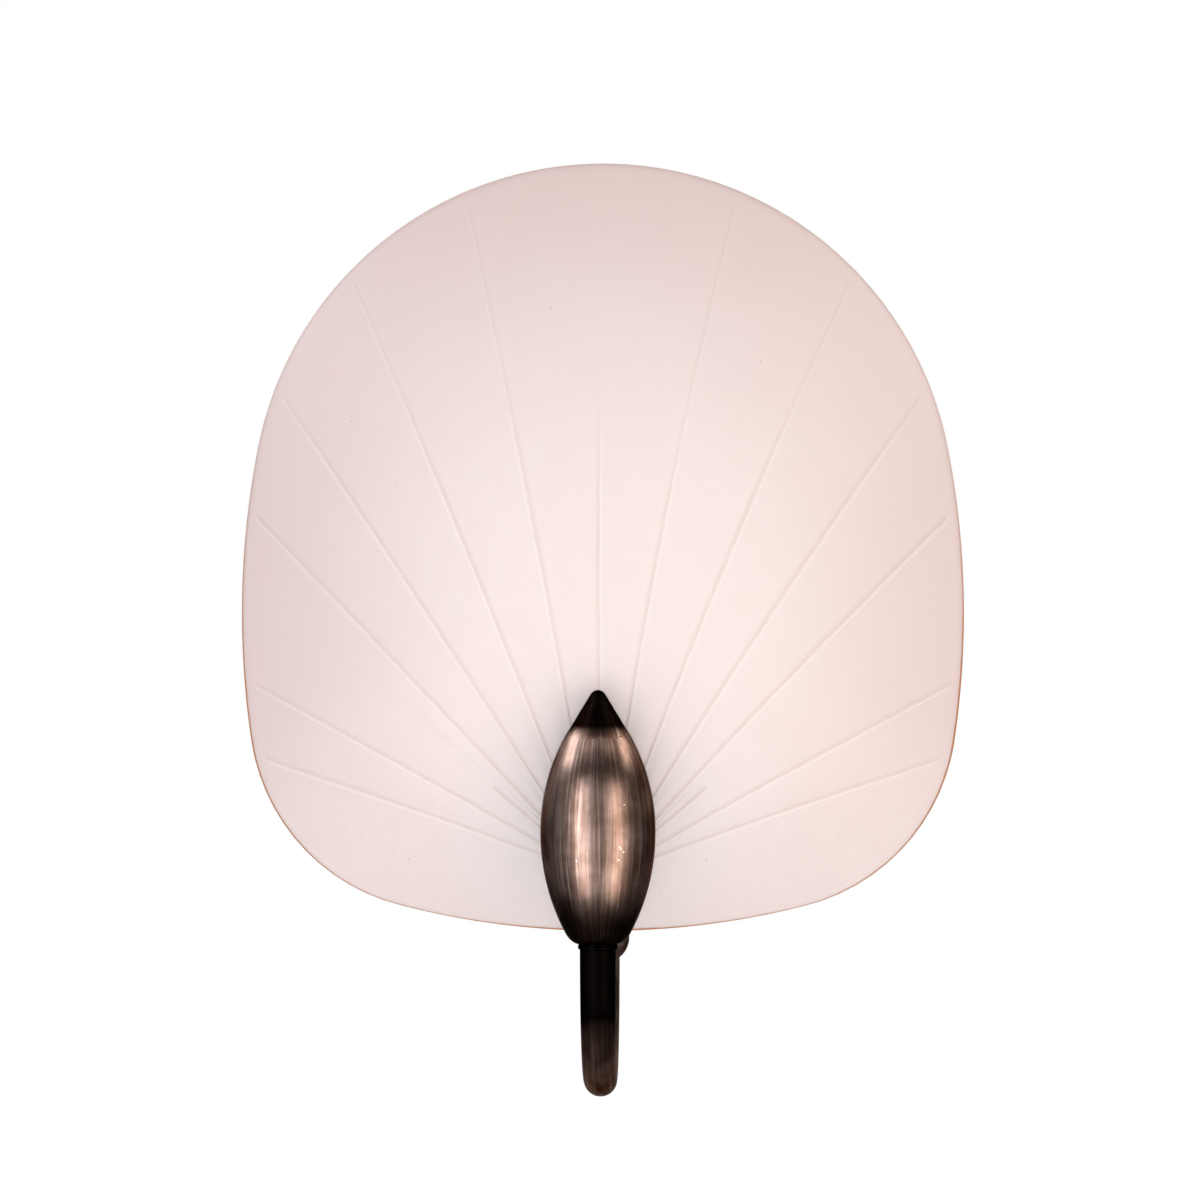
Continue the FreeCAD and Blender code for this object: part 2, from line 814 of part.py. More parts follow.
def make_holder_body():
    body = cylinder(holder_radius, holder_point(0, angle_shelf_z), V(0, 0, holder_height))
    rim = [e for e in body.Edges if abs(e.BoundBox.ZMin - holder_top_z) < 1e-3 and e.Closed]
    body = body.makeFillet(holder_edge_round, rim)
    foot_start = holder_point(0, angle_shelf_z - over)
    foot = cylinder(holder_foot_cavity_radius, foot_start, V(0, 0, holder_foot_cavity_height + over))
    bore_z = holder_floor_z + holder_floor_thickness
    bore = cylinder(holder_bore_radius, holder_point(0, bore_z), V(0, 0, holder_height))
    body = body.cut(foot).cut(bore)
    pillar_hole_radius = wire_radius + terminal_hole_clearance
    screw_hole_radius = holder_screw_radius + thread_clearance
    for side in (-1, 1):
        start = holder_point(side * holder_terminal_offset, holder_floor_z - over)
        body = body.cut(cylinder(pillar_hole_radius, start, V(0, 0, holder_floor_thickness + 2 * over)))
        screw_start = holder_point(side * holder_screw_pitch_radius, angle_shelf_z - over)
        body = body.cut(cylinder(screw_hole_radius, screw_start, V(0, 0, holder_screw_depth + over)))
    return body


def terminal_leg(side):
    """A clamping block with its wire hole, and the pillar that joins it to the part above."""
    block = terminal_block_box(side)
    middle = side * holder_terminal_offset
    low = holder_floor_z - holder_terminal_height
    wire_hole_start = holder_point(middle, low - over)
    wire_hole_along = V(0, 0, terminal_wire_hole_depth + over)
    wire_hole = cylinder(wire_radius + thread_clearance, wire_hole_start, wire_hole_along)
    screw_start = V(middle, holder_y - holder_terminal_size, low + terminal_screw_above_foot)
    screw_hole = cylinder(terminal_screw_radius, screw_start, V(0, holder_terminal_size, 0))
    pillar_length = over + holder_floor_thickness + contact_strip_thickness / 2
    pillar = cylinder(wire_radius, holder_point(middle, holder_floor_z - over), V(0, 0, pillar_length))
    return block.fuse(pillar).cut(wire_hole).cut(screw_hole)


def make_holder_thread():
    """The screw shell, on a floor ring that stays clear of the centre contact."""
    low = holder_floor_z + holder_floor_thickness
    shell_tube = tube(
        holder_thread_radius,
        holder_thread_radius - holder_thread_wall,
        holder_point(0, low),
        V(0, 0, holder_thread_height),
    )
    landing_start = holder_point(holder_terminal_offset, low)
    landing = cylinder(contact_button_radius, landing_start, V(0, 0, holder_thread_wall))
    bridge = box(
        (holder_terminal_offset, holder_thread_radius - holder_thread_wall / 2),
        (holder_y - contact_strip_width / 2, holder_y + contact_strip_width / 2),
        (low, low + holder_thread_wall),
    )
    return shell_tube.fuse(landing).fuse(bridge).fuse(terminal_leg(1))


def make_holder_contact():
    """The centre contact: a strip on the floor that rises to a round button."""
    low = holder_floor_z + holder_floor_thickness
    half = contact_strip_width / 2
    strip = box(
        (-holder_terminal_offset - half, half),
        (holder_y - half, holder_y + half),
        (low, low + contact_strip_thickness),
    )
    button = cylinder(contact_button_radius, holder_point(0, low), V(0, 0, contact_top_z - low))
    return strip.fuse(button).fuse(terminal_leg(-1))


def make_holder_screws():
    screws = []
    seat_z = angle_shelf_z - angle_thickness
    for x in (-holder_screw_pitch_radius, holder_screw_pitch_radius):
        seat = holder_point(x, seat_z)
        shank = V(0, 0, angle_thickness + holder_screw_depth - over)
        screws.append(
            pan_head_screw(holder_screw_radius, small_screw_head_radius, small_screw_head_height, seat, shank)
        )
    return Part.makeCompound(screws)


def make_holder_terminal_screws():
    screws = []
    low = holder_floor_z - holder_terminal_height
    for side in (-1, 1):
        middle = side * holder_terminal_offset
        seat = V(middle, holder_y - holder_terminal_size / 2, low + terminal_screw_above_foot)
        radius = terminal_screw_radius - thread_clearance
        shank = V(0, holder_terminal_size / 2 - wire_radius - thread_clearance * 2, 0)
        screws.append(
            pan_head_screw(radius, terminal_screw_head_radius, terminal_screw_head_height, seat, shank)
        )
    return Part.makeCompound(screws)


# ---------------------------------------------------------------- the candle lamp


def make_bulb_cap():
    foot = holder_point(0, cap_foot_z)
    cap = tube(bulb_cap_radius, bulb_cap_radius - bulb_cap_wall, foot, V(0, 0, bulb_cap_height))
    floor = tube(bulb_cap_radius, bulb_tip_radius, foot, V(0, 0, bulb_cap_floor))
    return cap.fuse(floor).removeSplitter()


def make_bulb_tip():
    """The centre contact with its insulating button."""
    button = Part.makeCone(
        bulb_tip_radius - bulb_tip_taper,
        bulb_tip_radius,
        bulb_tip_height,
        holder_point(0, bulb_foot_z),
    )
    plug = cylinder(bulb_tip_radius, holder_point(0, cap_foot_z), V(0, 0, bulb_cap_floor))
    return button.fuse(plug).removeSplitter()


def bulb_outline(inset):
    """The candle shape as edges of a profile, inset by the glass wall.

    The bowl and the flank are arcs that meet upright at the widest level.
    """
    neck_r = bulb_neck_radius - inset
    widest_r = bulb_glass_radius - inset
    tip_r = bulb_glass_tip_radius - inset
    low = cap_top_z - bulb_glass_in_cap + (bulb_glass_wall if inset else 0.0)
    neck_z = cap_top_z + bulb_neck_above_cap
    widest_z = cap_top_z + bulb_glass_widest_height
    tip_z = cap_top_z + bulb_glass_height - bulb_glass_tip_radius

    def upright_arc(end_r, end_z):
        run = widest_r - end_r
        rise = end_z - widest_z
        radius = (run**2 + rise**2) / (2 * run)
        half_rise = rise / 2
        middle_r = widest_r - radius + math.sqrt(radius**2 - half_rise**2)
        return V(middle_r, 0, widest_z + half_rise)

    tip_middle = V(tip_r * math.sqrt(0.5), 0, tip_z + tip_r * math.sqrt(0.5))
    return [
        line(on_axis(low), V(neck_r, 0, low)),
        line(V(neck_r, 0, low), V(neck_r, 0, neck_z)),
        arc(V(neck_r, 0, neck_z), upright_arc(neck_r, neck_z), V(widest_r, 0, widest_z)),
        arc(V(widest_r, 0, widest_z), upright_arc(tip_r, tip_z), V(tip_r, 0, tip_z)),
        arc(V(tip_r, 0, tip_z), tip_middle, on_axis(tip_z + tip_r)),
        line(on_axis(tip_z + tip_r), on_axis(low)),
    ]


def make_bulb_glass():
    glass = turned(bulb_outline(0.0)).cut(turned(bulb_outline(bulb_glass_wall)))
    glass.translate(V(0, holder_y, 0))
    return glass


def make_bulb_stem():
    low = cap_top_z - bulb_glass_in_cap + bulb_glass_wall
    foot_radius = bulb_neck_radius - bulb_glass_wall
    foot = cylinder(foot_radius, holder_point(0, low), V(0, 0, bulb_stem_foot_height))
    stem = cylinder(bulb_stem_radius, holder_point(0, low), V(0, 0, bulb_stem_height))
    spider_z = low + bulb_stem_height
    top = cylinder(filament_offset + filament_radius, holder_point(0, spider_z), V(0, 0, bulb_spider_height))
    return foot.fuse(stem).fuse(top).removeSplitter()


def make_bulb_filaments():
    high = cap_top_z - bulb_glass_in_cap + bulb_glass_wall + bulb_stem_height
    sticks = []
    for index in range(filament_count):
        turn = 2 * math.pi * (index + 0.5) / filament_count
        x = filament_offset * math.cos(turn)
        y = holder_y + filament_offset * math.sin(turn)
        sticks.append(cylinder(filament_radius, V(x, y, high - filament_length), V(0, 0, filament_length)))
    return Part.makeCompound(sticks)


# ---------------------------------------------------------------- at the wall


def make_wall_canopy():
    """A round dish, open to the wall, with a slot for the arm's socket."""
    dish = Part.makeCylinder(canopy_radius, canopy_depth, V(0, -canopy_depth, 0), V(0, 1, 0))
    front_edges = [e for e in dish.Edges if abs(e.BoundBox.YMax + canopy_depth) < 1e-3 and e.Closed]
    dish = dish.makeFillet(canopy_edge_round, front_edges)
    inner_depth = canopy_depth - canopy_wall
    inner_radius = canopy_radius - canopy_wall
    inside = Part.makeCylinder(inner_radius, inner_depth, V(0, -inner_depth, 0), V(0, 1, 0))
    inner_edges = [e for e in inside.Edges if abs(e.BoundBox.YMax + inner_depth) < 1e-3 and e.Closed]
    inside = inside.makeFillet(canopy_edge_round - canopy_wall, inner_edges)
    dish = dish.cut(inside)
    slot_half = socket_radius + hole_clearance
    slot_z = (-canopy_radius - over, -canopy_radius + canopy_slot_top_above_edge)
    slot = cylinder(slot_half, V(0, rear_y, slot_z[0]), V(0, 0, slot_z[1] - slot_z[0]))
    slot = slot.fuse(box((-slot_half, slot_half), (rear_y, over), slot_z))
    dish = dish.cut(slot)
    screw_hole = cylinder(
        canopy_screw_radius + hole_clearance,
        V(-canopy_radius - over, -canopy_screw_from_wall, 0),
        V(2 * (canopy_radius + over), 0, 0),
    )
    return dish.cut(screw_hole)


def make_wall_bracket():
    """A cross: the upright is screwed to the wall, the ears take the cover's screws."""
    back = (-bracket_thickness, 0.0)
    low = bracket_shelf_z
    upright = box((-bracket_width / 2, bracket_width / 2), back, (low, low + bracket_height))
    arm_half = bracket_arm_height / 2
    arms = box((-ear_x, ear_x), back, (-arm_half, arm_half))
    bracket = upright.fuse(arms)
    for side in (-1, 1):
        ear_low = min(side * ear_x, side * (ear_x - bracket_thickness))
        ear = box((ear_low, ear_low + bracket_thickness), (-bracket_ear_depth, 0), (-arm_half, arm_half))
        bracket = bracket.fuse(ear)
    shelf = box(
        (-bracket_width / 2, bracket_width / 2),
        (-bracket_shelf_depth, 0),
        (bracket_shelf_z, bracket_shelf_z + bracket_thickness),
    )
    bracket = bracket.fuse(shelf).removeSplitter()
    through = V(0, bracket_thickness + 2 * over, 0)
    front = -bracket_thickness - over
    for z in (-wall_screw_spacing / 2, wall_screw_spacing / 2):
        bracket = bracket.cut(cylinder(wall_screw_hole_radius, V(0, front, z), through))
    bracket = bracket.cut(cylinder(supply_hole_radius, V(0, front, supply_hole_z), through))
    nipple_hole = cylinder(
        thread_radius + thread_clearance,
        V(0, rear_y, bracket_shelf_z - over),
        V(0, 0, bracket_thickness + 2 * over),
    )
    ear_hole = cylinder(
        canopy_screw_radius + thread_clearance,
        V(-ear_x - over, -canopy_screw_from_wall, 0),
        V(2 * (ear_x + over), 0, 0),
    )
    bracket = bracket.cut(nipple_hole).cut(ear_hole)
    for hole in (strip_screw_place(), earth_screw_place()):
        bracket = bracket.cut(cylinder(small_screw_radius + thread_clearance, hole + V(0, -over, 0), through))
    return bracket


def strip_screw_place():
    """Where the strip's screw enters the bracket: between two poles."""
    return V(strip_pole_pitch / 2, -bracket_thickness, 0)


def earth_screw_place():
    return V(bracket_width / 2 + earth_screw_beyond_bracket, -bracket_thickness, 0)


def make_canopy_screws():
    """Two knurled screws, from the sides of the cover into the bracket's ears."""
    screws = []
    for side in (-1, 1):
        out = V(side, 0, 0)
        seat = V(side * canopy_radius, -canopy_screw_from_wall, 0)
        inner_end = ear_x - bracket_thickness - canopy_screw_past_ear
        shank = cylinder(canopy_screw_radius, seat, -out * (canopy_radius - inner_end))
        head_start = seat + out * canopy_screw_head_gap
        head = cylinder(canopy_screw_head_radius, head_start, out * canopy_screw_head_length)
        neck = cylinder(canopy_screw_radius, seat, out * (2 * canopy_screw_head_gap))
        for index in range(knurl_count):
            turn = 2 * math.pi * index / knurl_count
            offset = V(0, math.cos(turn), math.sin(turn)) * canopy_screw_head_radius
            start = seat + offset
            head = head.cut(cylinder(knurl_radius, start, out * (canopy_screw_head_length + over)))
        screws.append(shank.fuse(neck).fuse(head).removeSplitter())
    return Part.makeCompound(screws)


def pole_places():
    """The x of each pole of the terminal strip."""
    middle = (strip_pole_count - 1) / 2
    return [(index - middle) * strip_pole_pitch for index in range(strip_pole_count)]


def make_terminal_block():
    half = strip_height / 2
    block = box(
        (-strip_width / 2, strip_width / 2),
        (strip_y - strip_depth, strip_y),
        (-half, half),
    )
    for x in pole_places():
        start = V(x, strip_middle_y, -half - over)
        block = block.cut(cylinder(strip_insert_radius, start, V(0, 0, strip_height + 2 * over)))
        for z in (-half / 2, half / 2):
            well = V(x, strip_y - strip_depth - over, z)
            block = block.cut(cylinder(strip_screw_well_radius, well, V(0, strip_depth / 2, 0)))
    screw_hole = strip_screw_place() + V(0, -strip_depth - over, 0)
    return block.cut(cylinder(strip_mount_hole_radius, screw_hole, V(0, strip_depth + 2 * over, 0)))


def make_terminal_inserts():
    half = strip_height / 2 - strip_end_margin
    inserts = []
    for x in pole_places():
        start = V(x, strip_middle_y, -half)
        insert = tube(strip_insert_radius, strip_bore_radius, start, V(0, 0, 2 * half))
        for z in (-strip_height / 4, strip_height / 4):
            hole = cylinder(strip_screw_radius, V(x, strip_middle_y, z), V(0, -strip_insert_radius - over, 0))
            insert = insert.cut(hole)
        inserts.append(insert)
    return Part.makeCompound(inserts)


def make_terminal_screws():
    screws = []
    for x in pole_places():
        for z in (-strip_height / 4, strip_height / 4):
            tip_y = strip_middle_y - wire_radius - thread_clearance
            seat_y = strip_middle_y - strip_insert_radius - strip_screw_head_height / 2
            seat = V(x, seat_y, z)
            shank = V(0, tip_y - seat_y, 0)
            radius = strip_screw_radius - thread_clearance
            screws.append(
                pan_head_screw(radius, strip_screw_head_radius, strip_screw_head_height, seat, shank)
            )
    return Part.makeCompound(screws)


def make_terminal_block_screw():
    """It stands between two poles, so its shank is slim."""
    seat = strip_screw_place() + V(0, -strip_depth, 0)
    shank = V(0, strip_depth + bracket_thickness, 0)
    radius = strip_mount_screw_radius
    return pan_head_screw(radius, strip_mount_head_radius, strip_mount_head_height, seat, shank)


# ---------------------------------------------------------------- wires


def lamp_wire(side, pole_x):
    """From a pole of the strip, down the rear leg, round the U, up the pod and out of the stud."""
    x = side * wire_side_offset
    arm_low_z = arm_bend_z - bend_radius
    end_x = side * holder_terminal_offset
    rise_y = stud_end_y + wire_bend_radius
    terminal_z = holder_floor_z - holder_terminal_height
    points = [
        V(pole_x, strip_middle_y, -strip_height / 2 + wire_into_strip),
        V(pole_x, strip_middle_y, -strip_height / 2 - wire_below_strip),
        V(x, rear_y, bracket_shelf_z + bracket_thickness + nut_thickness + wire_above_nut),
        V(x, rear_y, arm_low_z),
        V(x, pod_y, arm_low_z),
        V(x, pod_y, stud_z),
        V(x, rise_y, stud_z),
        V(x, rise_y, stud_z + wire_rise_above_stud),
        V(end_x, holder_y, terminal_z - wire_run_to_terminal),
        V(end_x, holder_y, terminal_z + wire_into_terminal),
    ]
    slack = wire_bend_radius
    radii = [slack, slack, bend_radius, bend_radius, wire_pod_bend_radius, slack, slack, wire_end_bend_radius]
    return swept_round(rounded_path(points, radii), wire_radius)


def make_live_wire():
    return lamp_wire(-1, pole_places()[0])


def make_neutral_wire():
    return lamp_wire(1, pole_places()[1])


def make_earth_wire():
    """A short loop from the third pole to the ring under the earth screw."""
    pole = pole_places()[-1]
    screw = earth_screw_place()
    ring_y = screw.y - earth_eye_gap - wire_radius
    low = -strip_height / 2 - earth_wire_below_strip
    points = [
        V(pole, strip_middle_y, -strip_height / 2 + wire_into_strip),
        V(pole, strip_middle_y, low),
        V(screw.x, ring_y, low),
        V(screw.x, ring_y, -earth_eye_radius),
    ]
    lead = swept_round(rounded_path(points, [wire_bend_radius, wire_bend_radius]), wire_radius)
    back = V(0, earth_eye_thickness, 0)
    eye = tube(earth_eye_radius, small_screw_radius + thread_clearance, screw - back, back)
    tongue = box(
        (screw.x - wire_radius, screw.x + wire_radius),
        (ring_y - wire_radius / 2, screw.y),
        (-earth_eye_radius - 2 * wire_radius, -earth_eye_radius + earth_eye_thickness / 2),
    )
    return lead.fuse(eye).fuse(tongue)


def make_earth_screw():
    seat = earth_screw_place() + V(0, -earth_eye_thickness, 0)
    shank = V(0, earth_eye_thickness + bracket_thickness, 0)
    return pan_head_screw(small_screw_radius, small_screw_head_radius, small_screw_head_height, seat, shank)


# ---------------------------------------------------------------- build

PIECES = {
    "shell_shade": make_shell_shade,
    "pod_body": make_pod_body,
    "pod_tip": make_pod_tip,
    "neck_collar": make_neck_collar,
    "arm_tube": make_arm_tube,
    "arm_socket": make_arm_socket,
    "front_nipple": make_front_nipple,
    "rear_nipple": make_rear_nipple,
    "rear_lock_nut": make_rear_lock_nut,
    "shade_stud": make_shade_stud,
    "spacer_ring": make_spacer_ring,
    "front_washer": make_front_washer,
    "rear_washer": make_rear_washer,
    "holder_bracket": make_holder_bracket,
    "steel_washer": make_steel_washer,
    "shade_nut": make_shade_nut,
    "holder_body": make_holder_body,
    "holder_thread": make_holder_thread,
    "holder_contact": make_holder_contact,
    "holder_screws": make_holder_screws,
    "holder_terminal_screws": make_holder_terminal_screws,
    "bulb_glass": make_bulb_glass,
    "bulb_cap": make_bulb_cap,
    "bulb_tip": make_bulb_tip,
    "bulb_stem": make_bulb_stem,
    "bulb_filaments": make_bulb_filaments,
    "wall_canopy": make_wall_canopy,
    "wall_bracket": make_wall_bracket,
    "canopy_screws": make_canopy_screws,
    "terminal_block": make_terminal_block,
    "terminal_inserts": make_terminal_inserts,
    "terminal_screws": make_terminal_screws,
    "terminal_block_screw": make_terminal_block_screw,
    "live_wire": make_live_wire,
    "neutral_wire": make_neutral_wire,
    "earth_wire": make_earth_wire,
    "earth_screw": make_earth_screw,
}


def main():
    os.makedirs("parts", exist_ok=True)
    for name, make in PIECES.items():
        shape = make()
        solids = len(shape.Solids)
        print(f"{name:24s} solids {solids}  valid {shape.isValid()}  volume {shape.Volume:.1f}")
        shape.exportStep(f"parts/{name}.step")


main()
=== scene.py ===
# %% [markdown]
# # A shell wall sconce
# The lamp is a pale ceramic shell, 30 cm wide, on a dark bronze pod and a U-shaped bronze tube.
# The construction comes ready as a fixed frame of separate parts. What is left to do here is
# the surface of every part: smooth forms, glaze, brushed metal, light and the camera.
# All sizes are metres, +Z is up, the wall is the plane y = 0 and the front faces -Y.

# %% load the frame
import json
import math

import bmesh
import bpy
import numpy as np
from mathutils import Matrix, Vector


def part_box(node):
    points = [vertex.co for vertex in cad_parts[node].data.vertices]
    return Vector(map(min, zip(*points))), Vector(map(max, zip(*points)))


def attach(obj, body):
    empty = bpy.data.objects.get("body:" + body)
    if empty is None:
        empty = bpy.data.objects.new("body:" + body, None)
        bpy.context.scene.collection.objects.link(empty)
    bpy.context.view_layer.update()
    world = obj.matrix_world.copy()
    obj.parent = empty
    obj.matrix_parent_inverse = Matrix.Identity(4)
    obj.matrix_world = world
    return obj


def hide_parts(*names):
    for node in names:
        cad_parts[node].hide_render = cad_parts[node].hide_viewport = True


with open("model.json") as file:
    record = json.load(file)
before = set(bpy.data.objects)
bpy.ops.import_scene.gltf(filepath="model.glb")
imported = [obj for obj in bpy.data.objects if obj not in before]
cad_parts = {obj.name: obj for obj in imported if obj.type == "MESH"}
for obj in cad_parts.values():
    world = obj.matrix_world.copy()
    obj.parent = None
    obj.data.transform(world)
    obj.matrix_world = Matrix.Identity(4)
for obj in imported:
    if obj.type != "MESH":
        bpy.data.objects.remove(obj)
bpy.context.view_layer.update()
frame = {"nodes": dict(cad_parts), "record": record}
nodes = frame["nodes"]
mm = 0.001

# %% [markdown]
# ## Camera
# The photo looks almost level at the lamp, a little from the right, with a long lens. A lens is
# easiest to set from what it shows: the shell's known width and its width in the picture
# give the number of pixels for each metre, and with the distance that gives the focal length.
# The camera aims at a point that puts the lamp at the photo's place, so no shift is needed.

# %% camera
picture_size = 1200
sensor_width = 36.0
focal_pixels = 3957
view_distance = 1.666
view_turn = math.radians(1.5)
view_height = 0.070
aim = Vector((-0.0009, -0.043, view_height))

camera_data = bpy.data.cameras.new("camera")
camera_data.sensor_width = sensor_width
camera_data.lens = focal_pixels * sensor_width / picture_size
camera_data.clip_start = 0.05
camera = bpy.data.objects.new("camera", camera_data)
offset = Vector((math.sin(view_turn), -math.cos(view_turn), 0.0)) * view_distance
camera.location = aim + offset
camera.rotation_euler = (-offset).to_track_quat("-Z", "Y").to_euler()
bpy.context.scene.collection.objects.link(camera)
bpy.context.scene.camera = camera
bpy.context.scene.view_settings.view_transform = "Standard"
print("camera: lens", round(camera_data.lens, 1), "mm, at", [round(c, 3) for c in camera.location])

# %% [markdown]
# ## Light
# Polished metal shows its surroundings, so its lamps are shaped like those of a studio: a tall
# strip on each side, cool on the left and warm on the right. From the top of each strip a dim
# bridge and a bright bar lead round to the side, which carries the streak on to other views. A
# dim bar overhead, two broad dim panels below and one behind soften what is left. Everything
# between them stays dark, and that gives the pod its two streaks. All these only make
# reflections, because they would throw hard shadows of the pod on the pale shell. The matt
# light comes from soft panels that metal doesn't see, the brightest one close to the camera.

# %% lamps
light_centre = Vector((0.0, -0.1, 0.07))
strip_distance = 1.15
fill_distance = 1.6
cool_white = (1.0, 0.985, 1.0)
warm_white = (1.0, 0.90, 0.82)
amber_white = (1.0, 0.78, 0.60)


def place_on_sphere(azimuth, elevation, distance):
    """A point round the lamp: azimuth from the front towards +X, elevation upwards, in degrees."""
    turn = math.radians(azimuth)
    lift = math.radians(elevation)
    level = math.cos(lift)
    way = Vector((math.sin(turn) * level, -math.cos(turn) * level, math.sin(lift)))
    return light_centre + way * distance


def add_panel(name, way, size, radiance, colour, lean, distance):
    """A flat glowing panel that faces the lamp, way = (azimuth, elevation), size in metres.

    Its power is radiance times pi times area, the power of a surface that glows evenly.
    The lean turns it in its own plane, in degrees.
    """
    data = bpy.data.lights.new(name, "AREA")
    data.shape = "RECTANGLE"
    data.size, data.size_y = size
    data.energy = radiance * math.pi * size[0] * size[1]
    data.color = colour
    panel = bpy.data.objects.new(name, data)
    panel.location = place_on_sphere(*way, distance)
    facing = (panel.location - light_centre).to_track_quat("Z", "Y")
    panel.rotation_euler = facing.to_euler()
    panel.rotation_euler.rotate_axis("Z", math.radians(lean))
    panel.visible_camera = False
    bpy.context.scene.collection.objects.link(panel)
    return panel


mirror_panels = (
    ("left_strip", (-33, -9), (0.28, 1.35), 29.0, cool_white, 6),
    ("right_strip", (41, -9), (0.26, 1.35), 25.0, warm_white, 0),
    ("side_left", (-103, 33), (0.80, 0.13), 50.0, cool_white, -20),
    ("bridge_left", (-58, 46), (0.75, 0.18), 8.0, cool_white, -12),
    ("side_right", (105, 33), (0.70, 0.13), 42.0, warm_white, 20),
    ("bridge_right", (60, 46), (0.60, 0.16), 6.0, warm_white, 12),
    ("low_glow", (-18, -62), (1.80, 1.10), 0.50, warm_white, 0),
    ("low_back", (180, -58), (1.60, 1.20), 0.45, warm_white, 0),
    ("top_bar", (0, 51), (1.30, 0.16), 3.0, cool_white, 0),
    ("rear_glow", (180, 10), (1.20, 1.20), 0.9, cool_white, 0),
)
soft_panels = (
    ("fill_front", (1.5, 0), (0.26, 0.26), 27.0, cool_white, 0),
    ("fill_left", (-24, 6), (1.30, 1.90), 0.50, cool_white, 0),
    ("fill_right", (34, 6), (1.30, 1.90), 0.80, amber_white, 0),
    ("fill_low", (0, -60), (1.80, 1.20), 1.45, cool_white, 0),
    ("back_left", (-140, 30), (1.20, 1.20), 1.2, cool_white, 0),
    ("back_right", (150, 20), (1.20, 1.20), 1.0, warm_white, 0),
)
for panel in mirror_panels:
    add_panel(*panel, strip_distance).visible_diffuse = False
for panel in soft_panels:
    add_panel(*panel, fill_distance).visible_glossy = False

# %% [markdown]
# ## Backdrop and floor
# The photo's ground is plain white. The world is white where the camera, glass or a grazing
# reflection looks past the lamp, and dark in front of it, as a studio is behind the camera.
# Only a part of it lights the lamp. The pale floor lies far below, where a wall light's floor
# is, and takes the shadow. It doesn't show in reflections, because a white floor would turn
# the dark foot of the pod pale.


# %% a small kit for node trees
class Wire:
    """The output of a node. Sums, products and comparisons of wires add Math nodes."""

    def __init__(self, bench, socket):
        self.bench = bench
        self.socket = socket

    def maths(self, operation, first, second):
        return self.bench.add("ShaderNodeMath", {"operation": operation}, {0: first, 1: second})

    def __add__(self, other):
        return self.maths("ADD", self, other)

    def __radd__(self, other):
        return self.maths("ADD", other, self)

    def __sub__(self, other):
        return self.maths("SUBTRACT", self, other)

    def __rsub__(self, other):
        return self.maths("SUBTRACT", other, self)

    def __mul__(self, other):
        return self.maths("MULTIPLY", self, other)

    def __gt__(self, other):
        return self.maths("GREATER_THAN", self, other)


class Bench:
    """One node tree. Its method add makes any node and returns its output as a Wire."""

    def __init__(self, tree):
        self.tree = tree
        tree.nodes.clear()

    def add(self, kind, settings=None, inputs=None, output=0):
        """A node of a kind: settings are set first, then the values or wires of its inputs."""
        node = self.tree.nodes.new(kind)
        for name, value in (settings or {}).items():
            setattr(node, name, value)
        for name, value in (inputs or {}).items():
            if isinstance(value, Wire):
                self.tree.links.new(value.socket, node.inputs[name])
            else:
                node.inputs[name].default_value = value
        return Wire(self, node.outputs[output]) if node.outputs else node


def coordinate(bench, vector, axis):
    """One of the three numbers of a vector or colour: axis is X, Y or Z."""
    return bench.add("ShaderNodeSeparateXYZ", inputs={"Vector": vector}, output=axis)


def soft_range(bench, value, low, high, start=0.0, end=1.0):
    """Start below low, end above high, and a soft rise between them."""
    inputs = {"Value": value, "From Min": low, "From Max": high, "To Min": start, "To Max": end}
    return bench.add("ShaderNodeMapRange", {"interpolation_type": "SMOOTHSTEP"}, inputs)


print("kit: Wire and Bench")

# %% world and floor
ambient = 0.50
wall_turn = (0.55, 0.95)
wall_mirrored = 0.9
floor_level = -1.25
floor_half = 2.2
floor_lift = 0.55

world = bpy.data.worlds.new("studio")
bpy.context.scene.world = world
world.use_nodes = True
bench = Bench(world.node_tree)
direction = bench.add("ShaderNodeTexCoord", output="Generated")
behind_lamp = soft_range(bench, coordinate(bench, direction, "Y"), *wall_turn)
camera_ray, glossy_ray, glass_ray = (
    bench.add("ShaderNodeLightPath", output=name)
    for name in ("Is Camera Ray", "Is Glossy Ray", "Is Transmission Ray")
)
seen = camera_ray + glass_ray
mirrored = glossy_ray * (behind_lamp * wall_mirrored)
matt = (1 - seen) * (1 - glossy_ray)
strength = seen + mirrored + matt * ambient
glow = bench.add("ShaderNodeBackground", inputs={"Color": (1, 1, 1, 1), "Strength": strength})
bench.add("ShaderNodeOutputWorld", inputs={"Surface": glow})


def new_mesh(name, points, faces, smooth=True):
    """A mesh object from arrays of points and faces."""
    mesh = bpy.data.meshes.new(name)
    mesh.from_pydata(points.tolist(), [], faces)
    mesh.polygons.foreach_set("use_smooth", [smooth] * len(mesh.polygons))
    mesh.update()
    piece = bpy.data.objects.new(name, mesh)
    bpy.context.scene.collection.objects.link(piece)
    return piece


floor_corners = np.array([[-1, -1, 0], [1, -1, 0], [1, 1, 0], [-1, 1, 0]], float)
floor_corners = floor_corners * floor_half + [0.0, 0.0, floor_level]
studio_floor = new_mesh("studio_floor", floor_corners, [(0, 1, 2, 3)], smooth=False)
studio_floor.visible_glossy = False
floor_paint = bpy.data.materials.new("floor_paint")
floor_paint.use_nodes = True
bench = Bench(floor_paint.node_tree)
seen = bench.add("ShaderNodeLightPath", output="Is Camera Ray")
paint = bench.add("ShaderNodeBsdfDiffuse", inputs={"Color": (0.85, 0.85, 0.84, 1)})
lift = bench.add("ShaderNodeEmission", inputs={"Color": (1, 1, 1, 1), "Strength": seen * floor_lift})
both = bench.add("ShaderNodeAddShader", inputs={0: paint, 1: lift})
bench.add("ShaderNodeOutputMaterial", inputs={"Surface": both})
studio_floor.data.materials.append(floor_paint)
